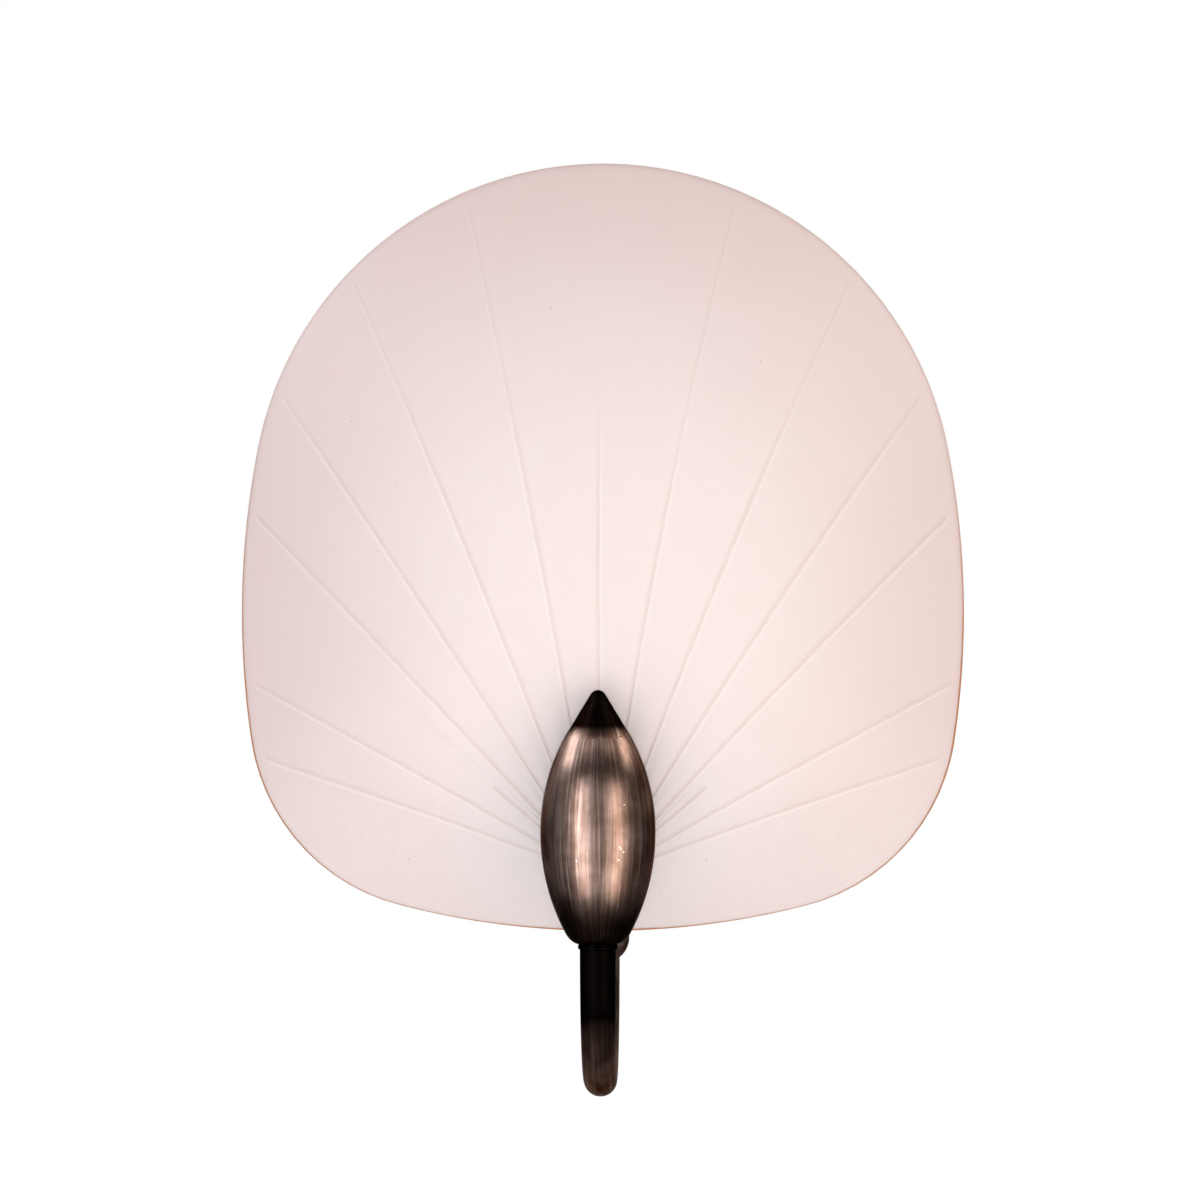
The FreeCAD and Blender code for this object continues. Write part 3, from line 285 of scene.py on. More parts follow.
print("world and floor: floor at", floor_level)

# %% [markdown]
# ## Surfaces from formulas
# Almost every part here is turned, cast or bent, so its surface is a grid: a function of two
# parameters. Whole arrays go into the mesh at once. A closed grid wraps in one or both
# directions, which leaves no seam. The list dressed notes each new piece with its slot, and the
# slots' finishes go on at the very end.


# %% grid surfaces
sharp_angle = math.radians(38)
dressed = []


def grid_faces(rows, columns, wrap_rows, wrap_columns):
    """Four-sided faces between the points of a grid, whose points are numbered row by row."""
    row = np.arange(rows if wrap_rows else rows - 1)[:, None]
    column = np.arange(columns if wrap_columns else columns - 1)[None, :]
    next_row = (row + 1) % rows
    next_column = (column + 1) % columns
    corners = [
        row * columns + column,
        row * columns + next_column,
        next_row * columns + next_column,
        next_row * columns + column,
    ]
    return np.stack([np.broadcast_to(c, (row.size, column.size)) for c in corners], -1).reshape(-1, 4)


def grid_piece(name, points, wrap_rows=False, wrap_columns=False, attributes=None):
    """An object from a grid of points (rows, columns, 3), with a value or vector at each point."""
    rows, columns = points.shape[:2]
    faces = grid_faces(rows, columns, wrap_rows, wrap_columns)
    piece = new_mesh(name, points.reshape(-1, 3), faces.tolist())
    for attribute_name, values in (attributes or {}).items():
        kind = "FLOAT_VECTOR" if values.ndim == 3 else "FLOAT"
        field = "vector" if values.ndim == 3 else "value"
        layer = piece.data.attributes.new(attribute_name, kind, "POINT")
        layer.data.foreach_set(field, values.reshape(-1))
    close_poles(piece)
    return piece


def close_poles(piece, distance=1e-7):
    """Merges points that fall together, such as those of a pole, and turns all faces outwards.

    The faces of a grid all turn the same way, so a negative volume means that all are inside out.
    """
    shape = bmesh.new()
    shape.from_mesh(piece.data)
    bmesh.ops.remove_doubles(shape, verts=shape.verts, dist=distance)
    loose = [edge for edge in shape.edges if not edge.link_faces]
    bmesh.ops.delete(shape, geom=loose, context="EDGES")
    if shape.calc_volume(signed=True) < 0:
        bmesh.ops.reverse_faces(shape, faces=shape.faces)
    shape.to_mesh(piece.data)
    shape.free()
    piece.data.set_sharp_from_angle(angle=sharp_angle)


def turned_piece(name, profile, centre, around=128, axis="Z", thread=None):
    """A turned part: the closed profile, points (radius, height), goes round an axis.

    A point at turn t is (radius cos t, radius sin t) beside the axis and its height along it.
    A thread, (depths, pitch), cuts the radius by depth * (1 - cos(2 pi height / pitch - t)) / 2.
    The attribute grain holds (cos t, sin t) times the largest radius, and the height, in metres.
    """
    turn = np.linspace(0, 2 * math.pi, around, endpoint=False)[None, :]
    radius = profile[:, 0][:, None]
    height = profile[:, 1][:, None]
    if thread is not None:
        depths, pitch = thread
        radius = radius - depths[:, None] * (1 - np.cos(2 * math.pi * height / pitch - turn)) / 2
    across = radius * np.cos(turn)
    other = radius * np.sin(turn)
    along = np.broadcast_to(height, across.shape)
    order = {"Z": (across, other, along), "Y": (across, along, other)}[axis]
    points = np.stack(order, -1) + np.array(centre)
    widest = np.full_like(across, profile[:, 0].max())
    grain = np.stack([np.cos(turn) * widest, np.sin(turn) * widest, along], -1)
    return grid_piece(name, points, True, True, {"grain": grain})


def arc_points(centre, radius, start, end, count):
    """Points on an arc in the (radius, height) plane, angles in degrees from the outward side."""
    angle = np.radians(np.linspace(start, end, count))
    return np.stack([centre[0] + radius * np.cos(angle), centre[1] + radius * np.sin(angle)], -1)


def run(start, end, count=2):
    """Points on a straight line in the (radius, height) plane."""
    share = np.linspace(0, 1, count)[:, None]
    return np.array(start) * (1 - share) + np.array(end) * share


def bend(start, corner, end, t):
    """A quadratic curve from start to end that aims at the corner, at the shares t of the way."""
    return (1 - t) ** 2 * start + 2 * t * (1 - t) * corner + t**2 * end


print("surfaces: grid, turned")

# %% [markdown]
# ## The shell
# The shade is slip-cast: a domed wall of even thickness with a soft outline of four arcs on
# each side. Its front carries grooves that fan out from a point behind the pod. They could be
# painted as bump, but close to the eye a groove has real walls that catch the light, so they
# belong to the surface. The grid therefore fans out from the same point: some of its columns
# run inside each groove, the others share out the panels between them.

# %% outline and dome
shell_low, shell_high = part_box("shell_shade")
half_width = 152.0 * mm
crown_top = shell_high.z
foot_level = shell_low.z
widest_level = 64.5 * mm
side_radius = 362.0 * mm
corner_radius = 84.0 * mm
foot_radius = 343.0 * mm
shell_wall = 6.0 * mm
shell_rise = 62.0 * mm
rim_plane = -46.0 * mm
middle_level = (crown_top + foot_level) / 2


def outline_arcs():
    """The outline's arcs as (angle where one starts, centre, radius), from crown to foot.

    Each arc touches the next one from inside, so their joint lies on the line through both
    centres. The side arc stands upright at the widest level.
    """
    top = crown_top - middle_level
    foot = foot_level - middle_level
    level = widest_level - middle_level
    side = np.array([half_width - side_radius, level])
    climb = top - level
    crown_radius = (2 * side_radius * half_width - half_width**2 - climb**2) / (2 * (side_radius - climb))
    crown = np.array([0.0, top - crown_radius])
    base = np.array([0.0, foot + foot_radius])
    gap = np.linalg.norm(base - side)
    from_side = side_radius - corner_radius
    from_base = foot_radius - corner_radius
    along = (from_side**2 - from_base**2 + gap**2) / (2 * gap)
    across = math.sqrt(from_side**2 - along**2)
    way = (base - side) / gap
    corner = side + way * along + np.array([way[1], -way[0]]) * across

    def joint(first, first_radius, second, second_radius):
        point = first + (second - first) * first_radius / (first_radius - second_radius)
        return math.atan2(point[1], point[0])

    return [
        (math.pi / 2, crown, crown_radius),
        (joint(side, side_radius, crown, crown_radius), side, side_radius),
        (joint(side, side_radius, corner, corner_radius), corner, corner_radius),
        (joint(base, foot_radius, corner, corner_radius), base, foot_radius),
    ]


def rim_distance(x, up):
    """From the shell's middle to its outline, towards the points (x, up).

    The way out meets the arc whose range of angles holds it: solve |way * d - centre| = radius.
    """
    length = np.maximum(np.hypot(x, up), 1e-9)
    way = np.stack([np.abs(x), up], 0) / length
    folded = np.arctan2(way[1], way[0])
    distance = np.zeros_like(length)
    for start, centre, radius in outline_arcs():
        near = way[0] * centre[0] + way[1] * centre[1]
        reach = near + np.sqrt(np.maximum(near**2 - centre @ centre + radius**2, 0))
        distance = np.where(folded <= start + 1e-9, reach, distance)
    return distance


def dome_front(x, z):
    """The y of the front: the dome falls from its rise as the square of the share of the way out."""
    up = z - middle_level
    share = np.hypot(x, up) / rim_distance(x, up)
    return rim_plane - shell_rise * (1 - share**2)


apex = dome_front(np.array([1e-6]), np.array([middle_level]))
print("shell: rise", shell_rise, "apex y", round(float(apex[0]), 4))

# %% the fan of grid lines
fan_level = -44.0 * mm
groove_start = 26.0 * mm
long_grooves = (11.3, 22.8, 33.9, 44.3, 61.7, 71.5)
short_groove = 51.0
short_reach = 58.0 * mm
groove_bow = 0.010
groove_half = 2.2 * mm
groove_depth = 0.45 * mm
rim_margin = 4.5 * mm
centre_rim_margin = 17.0 * mm
groove_places = np.array([-1, -0.78, -0.56, -0.36, -0.18, -0.05, 0.06, 0.16, 0.28, 0.42, 0.58, 0.78, 1])
lines_between = 6
lines_below = 92
groove_narrowing = 0.052


def reach_to_rim(angle):
    """From the fan's origin to the outline, by halving an interval for all angles at once."""
    low = np.zeros_like(angle)
    high = np.full_like(angle, 0.5)
    for _ in range(40):
        reach = (low + high) / 2
        x = reach * np.sin(angle)
        up = fan_level + reach * np.cos(angle) - middle_level
        inside = np.hypot(x, up) < rim_distance(x, up)
        low = np.where(inside, reach, low)
        high = np.where(inside, high, reach)
    return low


def fan_lines():
    """The grid's columns, each as (groove before, groove after, share between them, place in groove).

    A column inside a groove has the same groove twice and a place from -1 to 1 across it.
    The places crowd together on the steep outer wall, and mirror on the left half.
    """
    one_side = sorted(long_grooves + (short_groove,))
    grooves = [-a for a in reversed(one_side)] + [0.0] + one_side
    lines = []
    for index, angle in enumerate(grooves):
        places = groove_places if angle >= 0 else -groove_places[::-1]
        lines += [(angle, angle, 0.0, place) for place in places]
        if index + 1 < len(grooves):
            shares = np.arange(1, lines_between + 1) / (lines_between + 1)
            lines += [(angle, grooves[index + 1], share, 0.0) for share in shares]
    below = np.arange(1, lines_below + 1) / (lines_below + 1)
    lines += [(grooves[-1], 360.0 + grooves[0], share, 0.0) for share in below]
    return grooves, np.array(lines)


grooves, lines = fan_lines()
column_angle = np.radians(lines[:, 0] + (lines[:, 1] - lines[:, 0]) * lines[:, 2])
column_reach = reach_to_rim(column_angle)
print("fan:", len(grooves), "grooves,", len(lines), "columns")

# %% the shell's surface
smallest_length = 0.1 * mm


def bow_of(angle, length, reach):
    """Sideways sag of the line at an angle: a shallow parabola towards the middle line."""
    side = np.sign(angle) * (np.abs(angle) < 90)
    run_length = reach - rim_margin - groove_start
    share = np.clip((length - groove_start) / run_length, 0, 1)
    return -side * groove_bow * run_length * 4 * share * (1 - share)


def fan_point(share):
    """Places (x, z) of all columns at each share of the way to the rim.

    A groove's lines lie side by side at a real width, which shrinks near the origin so that
    grooves never cross. A column between two grooves has a direction between those of their
    edge lines. Its length is its share of the way from the origin to the rim in that direction.
    """
    before, after, between, place = lines.T

    def direction_of(angle, sideways):
        lean = np.radians(angle)
        reach = reach_to_rim(lean)
        length = np.maximum(reach * share, smallest_length)
        half = np.minimum(groove_half, groove_narrowing * length)
        aside = sideways * half + bow_of(angle, length, reach)
        return lean + np.arctan2(aside, length)

    in_groove = between == 0
    start = direction_of(before, np.where(in_groove, place, 1.0))
    end = direction_of(after, np.where(in_groove, place, -1.0))
    turn = start * (1 - between) + end * between
    length = reach_to_rim(turn) * share
    return np.stack([length * np.sin(turn), fan_level + length * np.cos(turn)], -1)


print("fan points:", fan_point(np.linspace(0, 1, 3)[:, None]).shape)

# %% relief of the grooves and panels
inner_wall = 1.9 * mm
outer_wall = 0.6 * mm
lip_width = 0.9 * mm
lip_height = 0.08 * mm
panel_crown = 0.30 * mm
crown_fades = (70.0 * mm, 210.0 * mm)
groove_wears = (95.0 * mm, 165.0 * mm)
groove_end_fade = 3.0 * mm
centre_wear = 0.75
side_wear = 0.45
crown_kept = 0.25
hand_height = 0.10 * mm


def smooth_step(low, high, value):
    """Rises from 0 to 1 between low and high with level ends: 3 s^2 - 2 s^3."""
    s = np.clip((value - low) / (high - low), 0, 1)
    return s * s * (3 - 2 * s)


def groove_profile(outward):
    """Depth of a groove, 0 to 1, at a distance from its line towards the outer side.

    The inner wall sinks gently as a cosine. The outer wall rises
    steeply to a low lip, which is a negative depth.
    """
    inner = 0.5 + 0.5 * np.cos(math.pi * np.clip(outward / inner_wall, -1, 0))
    outer = 0.5 + 0.5 * np.cos(math.pi * np.clip(outward / outer_wall, 0, 1))
    lip = np.sin(math.pi * np.clip((outward - outer_wall) / lip_width, 0, 1))
    return np.where(outward < 0, inner, outer) - lip * lip_height / groove_depth


def shell_relief(points, share):
    """How far the front lies behind the plain dome, and the groove's share in that.

    The grooves fade at their ends and wear off towards the top, the middle one most. The
    panels between them swell a little, less so near the rim. Waves add the unevenness of a cast.
    """
    before, after, between, place = lines.T
    reach = column_reach
    length = reach * share
    half = np.minimum(groove_half, groove_narrowing * length)
    side = np.where(before >= 0, 1.0, -1.0)
    profile = groove_profile(place * half * side)
    last = np.where(np.abs(before) == short_groove, short_reach, reach - rim_margin)
    last = np.where(before == 0, reach - centre_rim_margin, last)
    opening = smooth_step(0, groove_start, length)
    fade = smooth_step(0, groove_end_fade, last - length) * opening
    worn = smooth_step(*groove_wears, points[..., 1]) * np.where(before == 0, centre_wear, side_wear)
    groove = np.where(between == 0, profile, 0) * fade * (1 - worn)
    fading = crown_kept + (1 - crown_kept) * (1 - smooth_step(*crown_fades, length))
    crown = np.sin(math.pi * between) * (after < 180) * fading * opening
    x, z = points[..., 0], points[..., 1]
    hand = np.sin(31 * x + 1.0) * np.sin(27 * z + 0.4) + 0.6 * np.sin(58 * x - 37 * z + 2.0)
    hand = hand * hand_height * smooth_step(0, 0.3, 1 - share)
    return groove * groove_depth - crown * panel_crown + hand, groove


print("relief: deepest", groove_depth)

# %% the shell as one closed surface
rows_out = 150
front_round = 4.0 * mm
back_round = 1.6 * mm
rim_rows = 8
back_rows = 36
back_rim_rows = 4
front_crowding = 1.25
back_crowding = 0.8
rounded_share = 0.6


def rounded(start, corner, end, count):
    """Rows inside a rounded corner of the rim, without its two ends."""
    return bend(start, corner, end, np.linspace(0, 1, count + 2)[1:-1, None, None])


def shell_points():
    """All points row by row, over the front, round the rim and along the back, with two masks.

    The front's rows crowd towards the rim. The groove mask is the groove's relief. The rim
    mask rises to 1 over the rim and is negative on the back, which keeps the brown edge off it.
    """
    even = np.linspace(0, 1, rows_out)[:, None]
    share = (1 - (1 - even) ** front_crowding) * (1 - front_round / column_reach)
    place = fan_point(share)
    sink, groove = shell_relief(place, share)
    x, z = place[..., 0], place[..., 1]
    front = np.stack([x, dome_front(x, z) + sink, z], -1)
    edge = fan_point(np.ones((1, 1)))[0]
    slope = (front[-1, :, 1] - front[-2, :, 1]) / np.linalg.norm(place[-1] - place[-2], axis=-1)
    rim_front = front[-1, :, 1] + slope * np.linalg.norm(edge - place[-1], axis=-1)
    rim_back = rim_plane + shell_wall

    def at_rim(y):
        return np.stack([edge[:, 0], np.broadcast_to(y, edge[:, 0].shape), edge[:, 1]], -1)

    wall_front = rim_front + front_round * rounded_share
    round_front = rounded(front[-1], at_rim(rim_front), at_rim(wall_front), rim_rows)
    even = np.linspace(1, 0, back_rows)[:, None]
    back_share = even**back_crowding * (1 - back_round / column_reach)
    back_place = fan_point(back_share)
    bx, bz = back_place[..., 0], back_place[..., 1]
    back = np.stack([bx, dome_front(bx, bz) + shell_wall, bz], -1)
    wall_back = at_rim(rim_back - back_round)
    round_back = rounded(wall_back, at_rim(rim_back), back[0], back_rim_rows)
    rows = [front, round_front, at_rim(wall_front)[None], wall_back[None], round_back, back]
    grooves_at = [groove] + [np.zeros(r.shape[:2]) for r in rows[1:]]
    columns = np.ones(lines.shape[0])
    rim_at = [np.zeros(front.shape[:2])]
    rim_at.append(np.linspace(0, 1, rim_rows)[:, None] * columns)
    rim_at += [np.ones(r.shape[:2]) for r in rows[2:5]]
    rim_at.append(-(np.linspace(0, 1, back_rows)[:, None] ** 0.1) * columns)
    return np.concatenate(rows), np.concatenate(grooves_at), np.concatenate(rim_at)


points, groove_mask, rim_mask = shell_points()
rise = points[..., 2] - middle_level
way_out = np.hypot(points[..., 0], rise) / rim_distance(points[..., 0], rise)
masks = {"groove": groove_mask, "rim": rim_mask, "out": way_out}
shell = grid_piece("shell", points, False, True, masks)
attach(shell, "lamp")
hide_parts("shell_shade")
dressed.append((shell, "glaze"))
print("shell:", len(shell.data.polygons), "faces")

# %% [markdown]
# ## Pod and arm
# The pod is a spun spindle: two long arcs that meet at its widest level, closed by a cone.
# Both are turned profiles, closed loops that include the hollow inside, so they could be cut
# open anywhere. The arm is a circle carried along a U, a little thicker at the pod.

# %% pod profiles
pod_low, pod_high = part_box("pod_body")
tip_low, tip_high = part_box("pod_tip")
pod_y = (tip_low.y + tip_high.y) / 2
pod_radius = 23.3 * mm
pod_widest = -24.0 * mm
upper_arc = 81.0 * mm
lower_arc = 87.0 * mm
pod_joint = pod_high.z
pod_foot = pod_low.z
pod_wall = 3.5 * mm
pod_floor = 8.0 * mm
mouth_radius = 8.5 * mm
mouth_depth = 7.0 * mm
spigot_length = 6.0 * mm
thread_gap = 0.05 * mm
foot_round = 4.5 * mm
foot_share = 0.85
thread_radius = 5.0 * mm
cone_level = 15.0 * mm
tip_radius = 3.4 * mm


def pod_side(arc_radius, levels, inset):
    """The pod's outline at levels: an arc whose centre lies across the axis, less an inset."""
    radius = arc_radius - inset
    return np.stack([pod_radius - arc_radius + np.sqrt(radius**2 - (levels - pod_widest) ** 2), levels], -1)


def pod_body_profile():
    """Closed loop: outside from the mouth down, round foot, threaded hole, hollow, mouth."""
    upper = pod_side(upper_arc, np.linspace(pod_joint, pod_widest, 60), 0)
    lower = pod_side(lower_arc, np.linspace(pod_widest, pod_foot + foot_round, 60)[1:], 0)
    foot_edge = pod_side(lower_arc, np.array([pod_foot]), 0)[0]
    foot_in = np.array([foot_edge[0] - foot_round * foot_share, pod_foot])
    foot_bend = bend(lower[-1], foot_edge, foot_in, np.linspace(0, 1, 14)[1:, None])
    floor_level = pod_foot + pod_floor
    roof_level = pod_joint - mouth_depth
    inner_low = pod_side(lower_arc, np.linspace(floor_level, pod_widest, 20), pod_wall)
    inner_high = pod_side(upper_arc, np.linspace(pod_widest, roof_level, 20)[1:], pod_wall)
    return np.concatenate([
        upper, lower, foot_bend,
        run((thread_radius, pod_foot), (thread_radius, floor_level)),
        inner_low, inner_high,
        run((mouth_radius, roof_level), (mouth_radius, pod_joint)),
    ])


def pod_tip_profile():
    """Closed loop: arc and cone, round tip, axis, and the spigot that screws into the mouth.

    The cone touches the ball of the tip: (base - touch) is square to the ball's radius there.
    """
    shoulder = pod_side(upper_arc, np.linspace(pod_joint, cone_level, 12), 0)
    ball = np.array([0.0, tip_high.z - tip_radius])
    to_base = shoulder[-1] - ball
    aside = math.acos(tip_radius / np.linalg.norm(to_base))
    touch = math.degrees(math.atan2(to_base[1], to_base[0]) + aside)
    ball_arc = arc_points(ball, tip_radius, touch, 90, 14)
    spigot = mouth_radius - thread_gap
    spigot_level = pod_joint - spigot_length
    return np.concatenate([
        run((spigot, spigot_level), (spigot, pod_joint)),
        shoulder,
        run(shoulder[-1], ball_arc[0], 30)[1:],
        ball_arc[1:],
        np.array([(0.0, spigot_level)]),
    ])


def bronze_part(piece, *parts):
    """A bronze piece that stands for CAD parts of the lamp."""
    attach(piece, "lamp")
    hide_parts(*parts)
    dressed.append((piece, "bronze"))
    return piece


pod = bronze_part(turned_piece("pod", pod_body_profile(), (0, pod_y, 0), 192), "pod_body")
tip = bronze_part(turned_piece("pod_cone", pod_tip_profile(), (0, pod_y, 0), 192), "pod_tip")
print("pod:", len(pod.data.polygons), "faces, cone:", len(tip.data.polygons))

# %% the arm
tube_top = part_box("arm_tube")[1].z
collar_low, collar_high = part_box("neck_collar")
socket_low, socket_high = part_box("arm_socket")
rear_y = (socket_low.y + socket_high.y) / 2
bend_level = -83.2 * mm
bend_radius = (rear_y - pod_y) / 2
tube_radii = (7.4 * mm, 6.85 * mm)
tube_bore = 5.0 * mm
tube_rear_top = -67.1 * mm


def arm_path(count):
    """The U's middle line: down, half a turn, up. Returns places, directions and lengths along it."""
    drop = tube_top - bend_level
    turn = math.pi * bend_radius
    climb = tube_rear_top - bend_level
    length = np.linspace(0, drop + turn + climb, count)
    angle = np.clip((length - drop) / bend_radius, 0, math.pi)
    y = pod_y + bend_radius * (1 - np.cos(angle))
    z = np.where(length < drop, tube_top - length, bend_level - bend_radius * np.sin(angle))
    z = np.where(length > drop + turn, bend_level + (length - drop - turn), z)
    middle = np.stack([np.zeros(count), y, z], -1)
    outward = np.stack([np.zeros(count), -np.cos(angle), -np.sin(angle)], -1)
    return middle, outward, length, drop + turn / 2


def arm_points(count=150, around=72):
    """Circles round the path: middle + radius (outward cos t + sideways sin t).

    The outside runs down the path and the bore runs back, which closes the tube wall.
    """
    middle, outward, length, taper_end = arm_path(count)
    share = np.clip(length / taper_end, 0, 1)
    outer = tube_radii[0] * (1 - share) + tube_radii[1] * share
    turn = np.linspace(0, 2 * math.pi, around, endpoint=False)
    sideways = np.array([1.0, 0.0, 0.0])

    def ring(at, radius):
        spoke = outward[at, None, :] * np.cos(turn)[None, :, None] + sideways * np.sin(turn)[None, :, None]
        return middle[at, None, :] + np.reshape(radius, (-1, 1, 1)) * spoke

    down = np.arange(count)
    back = down[::-1]
    points = np.concatenate([ring(down, outer), ring(back, np.full(count, tube_bore))])
    lengths = np.concatenate([length[down], length[back]])[:, None]
    widest = np.full((2 * count, around), tube_radii[0])
    along = np.broadcast_to(lengths, widest.shape)
    grain = np.stack([np.cos(turn) * widest, np.sin(turn) * widest, along], -1)
    return points, grain


points, grain = arm_points()
arm = bronze_part(grid_piece("arm", points, True, True, {"grain": grain}), "arm_tube")
print("arm:", len(arm.data.polygons), "faces, bend radius", round(bend_radius, 4))


# %% collar and socket
metric_bore = thread_radius + thread_gap
collar_radius = (collar_high.x - collar_low.x) / 2
collar_edge = 0.7 * mm
socket_radius = 11.0 * mm
socket_edge = 0.6 * mm
socket_gap = 0.1 * mm


def ring_profile(inner, outer, low, high, edge, steps=6):
    """A ring with its outer edges rounded by quarter arcs of a few steps."""
    return np.concatenate([
        run((inner, low), (outer - edge, low)),
        arc_points((outer - edge, low + edge), edge, -80, 0, steps),
        arc_points((outer - edge, high - edge), edge, 0, 80, steps),
        run((outer - edge, high), (inner, high)),
    ])


def socket_profile(radius, edge):
    """A barrel whose foot is part of a ball, bored for the tube below and the thread above."""
    mouth = tube_radii[1] + socket_gap
    drop = math.sqrt(radius**2 - mouth**2)
    ball_level = socket_low.z + drop
    foot_angle = math.degrees(math.atan2(-drop, mouth))
    return np.concatenate([
        arc_points((0.0, ball_level), radius, foot_angle, 0, 24),
        run((radius, ball_level + 1 * mm), (radius, socket_high.z - edge), 8),
        arc_points((radius - edge, socket_high.z - edge), edge, 0, 90, 6),
        run((metric_bore, socket_high.z), (metric_bore, tube_rear_top)),
        run((mouth, tube_rear_top), (mouth, socket_low.z)),
    ])


collar_loop = ring_profile(metric_bore, collar_radius, collar_low.z, collar_high.z, collar_edge, 8)
socket_loop = socket_profile(socket_radius, socket_edge)
bronze_part(turned_piece("collar", collar_loop, (0, pod_y, 0), 128), "neck_collar")
bronze_part(turned_piece("socket", socket_loop, (0, rear_y, 0), 128), "arm_socket")
print("collar and socket: radii", collar_radius, socket_radius)

# %% [markdown]
# ## Finishes
# A finish is a small tree of nodes: places on the surface go through noise and ranges into a
# colour, a roughness and a bump. Places are the object's own coordinates, in metres, so a
# pattern has its real scale and stays put when the part moves. Brushed metal needs a pattern
# that follows the surface, so it reads the attribute grain of each turned piece.


# %% tools for finishes
def start_finish(name):
    """A new material with an empty bench, and the object's own coordinates on it."""
    material = bpy.data.materials.new(name)
    material.use_nodes = True
    bench = Bench(material.node_tree)
    return material, bench, bench.add("ShaderNodeTexCoord", output="Object")


def end_finish(bench, inputs, relief, depth):
    """The shader and the output. A relief from 0 to 1 becomes a bump of a depth in metres."""
    bump = bench.add("ShaderNodeBump", inputs={"Height": relief, "Distance": depth})
    shader = bench.add("ShaderNodeBsdfPrincipled", inputs={**inputs, "Normal": bump})
    bench.add("ShaderNodeOutputMaterial", inputs={"Surface": shader})


def attribute(bench, name, output="Fac"):
    """A value or vector that a piece stores at its points."""
    return bench.add("ShaderNodeAttribute", {"attribute_name": name}, output=output)


def noise(bench, place, scale, detail=3.0):
    """Clouds of values about 0.5. A scale of 1000 gives clouds of a millimetre."""
    return bench.add("ShaderNodeTexNoise", inputs={"Vector": place, "Scale": scale, "Detail": detail})


def stretched(bench, place, scale, turn=(0.0, 0.0, 0.0)):
    """Places turned and scaled by a different number along each axis."""
    return bench.add("ShaderNodeMapping", {}, {"Vector": place, "Rotation": turn, "Scale": scale})


def mixed(bench, share, first, second):
    """The second colour over the first, by a share from 0 to 1."""
    return bench.add("ShaderNodeMix", {"data_type": "RGBA"}, {0: share, 6: first, 7: second}, output=2)


def coated(bench, colour, coats):
    """The colour under coats that are laid on in turn, each one (share from 0 to 1, colour)."""
    for share, shade in coats:
        colour = mixed(bench, share, colour, shade)
    return colour


def distance_to(bench, place, centre):
    """How far a place lies from a fixed point, in metres."""
    settings = {"operation": "DISTANCE"}
    return bench.add("ShaderNodeVectorMath", settings, {0: place, 1: centre}, output="Value")


def spots(bench, place, centres, radius):
    """1 at each of a few points, falling softly to 0 at a radius from them."""
    total = 0.0
    for centre in centres:
        gap = distance_to(bench, place, centre)
        total = total + soft_range(bench, gap, radius * 0.4, radius, 1.0, 0.0)
    return total


print("finishes: tools ready")

# %% [markdown]
# ## Satin glaze
# The glaze is a milky pink-white, pinker towards the rim; the paler middle is partly its own
# tone and partly painted sheen. The edge is brown, more so towards the bottom. The grooves are
# painted darker as shade and their lips paler as a painted highlight, and round the pod's foot
# the glaze is painted lighter to lift the pod's shadow. Its sheen is broken by a fine grain, and
# low down there are traces of the brush that laid it on. A few dark specks come from the clay.
# Thickness can't be measured here, so the shell stores three masks at its points: the way out to
# the rim, the grooves and the edge.

# %% glaze
glaze_pale = (0.880, 0.790, 0.780, 1)
glaze_blush = (0.870, 0.715, 0.700, 1)
# painted shade: darker glaze inside the grooves
groove_shade_colour = (0.780, 0.645, 0.610, 1)
# painted highlight on the grooves' lips; also the paler traces of the brush low down
lip_highlight_and_brush = (0.950, 0.885, 0.870, 1)
# painted light: a paler glaze round the pod's foot that lifts the pod's shadow off the shell
painted_light_glaze = (0.925, 0.875, 0.880, 1)
# brown of the shell's edge, stronger towards the bottom
brown_edge_colour = (0.600, 0.230, 0.075, 1)
speck_colour = (0.220, 0.130, 0.090, 1)
painted_light_centre = (0.0, -88.0 * mm, -32.0 * mm)
painted_light_range = (95.0 * mm, 25.0 * mm)
low_range = (35.0 * mm, -30.0 * mm)
blush_levels = (-50.0 * mm, 50.0 * mm)
brown_edge_levels = (160.0 * mm, 20.0 * mm)
brush_turn = (0.0, math.radians(-36), 0.0)
brush_scale = (2300, 110, 110)
grit_scale = 95
grit_rarity = 0.90
glaze_roughness = 0.54
glaze_sheen = 0.08
glaze_depth = 0.035 * mm
speck_radius = 0.42 * mm
speck_places = ((-103, 144), (-83, 116), (-80, -38), (44, -38), (25, -52), (118, 22), (-20, 190), (66, 168))

glaze, bench, place = start_finish("glaze")
out = attribute(bench, "out")
groove = attribute(bench, "groove")
edge = attribute(bench, "rim")
height = coordinate(bench, place, "Z")
clouds = noise(bench, place, 26, 4.0)
blotches = noise(bench, place, 110)
fine_grain = noise(bench, place, 1100, 2.0)
coarse_grain = noise(bench, place, 420)
turned = stretched(bench, place, (1.0, 1.0, 1.0), brush_turn)
brushed = noise(bench, stretched(bench, turned, brush_scale), 1.0, 2.0)
low_down = soft_range(bench, height, *low_range)
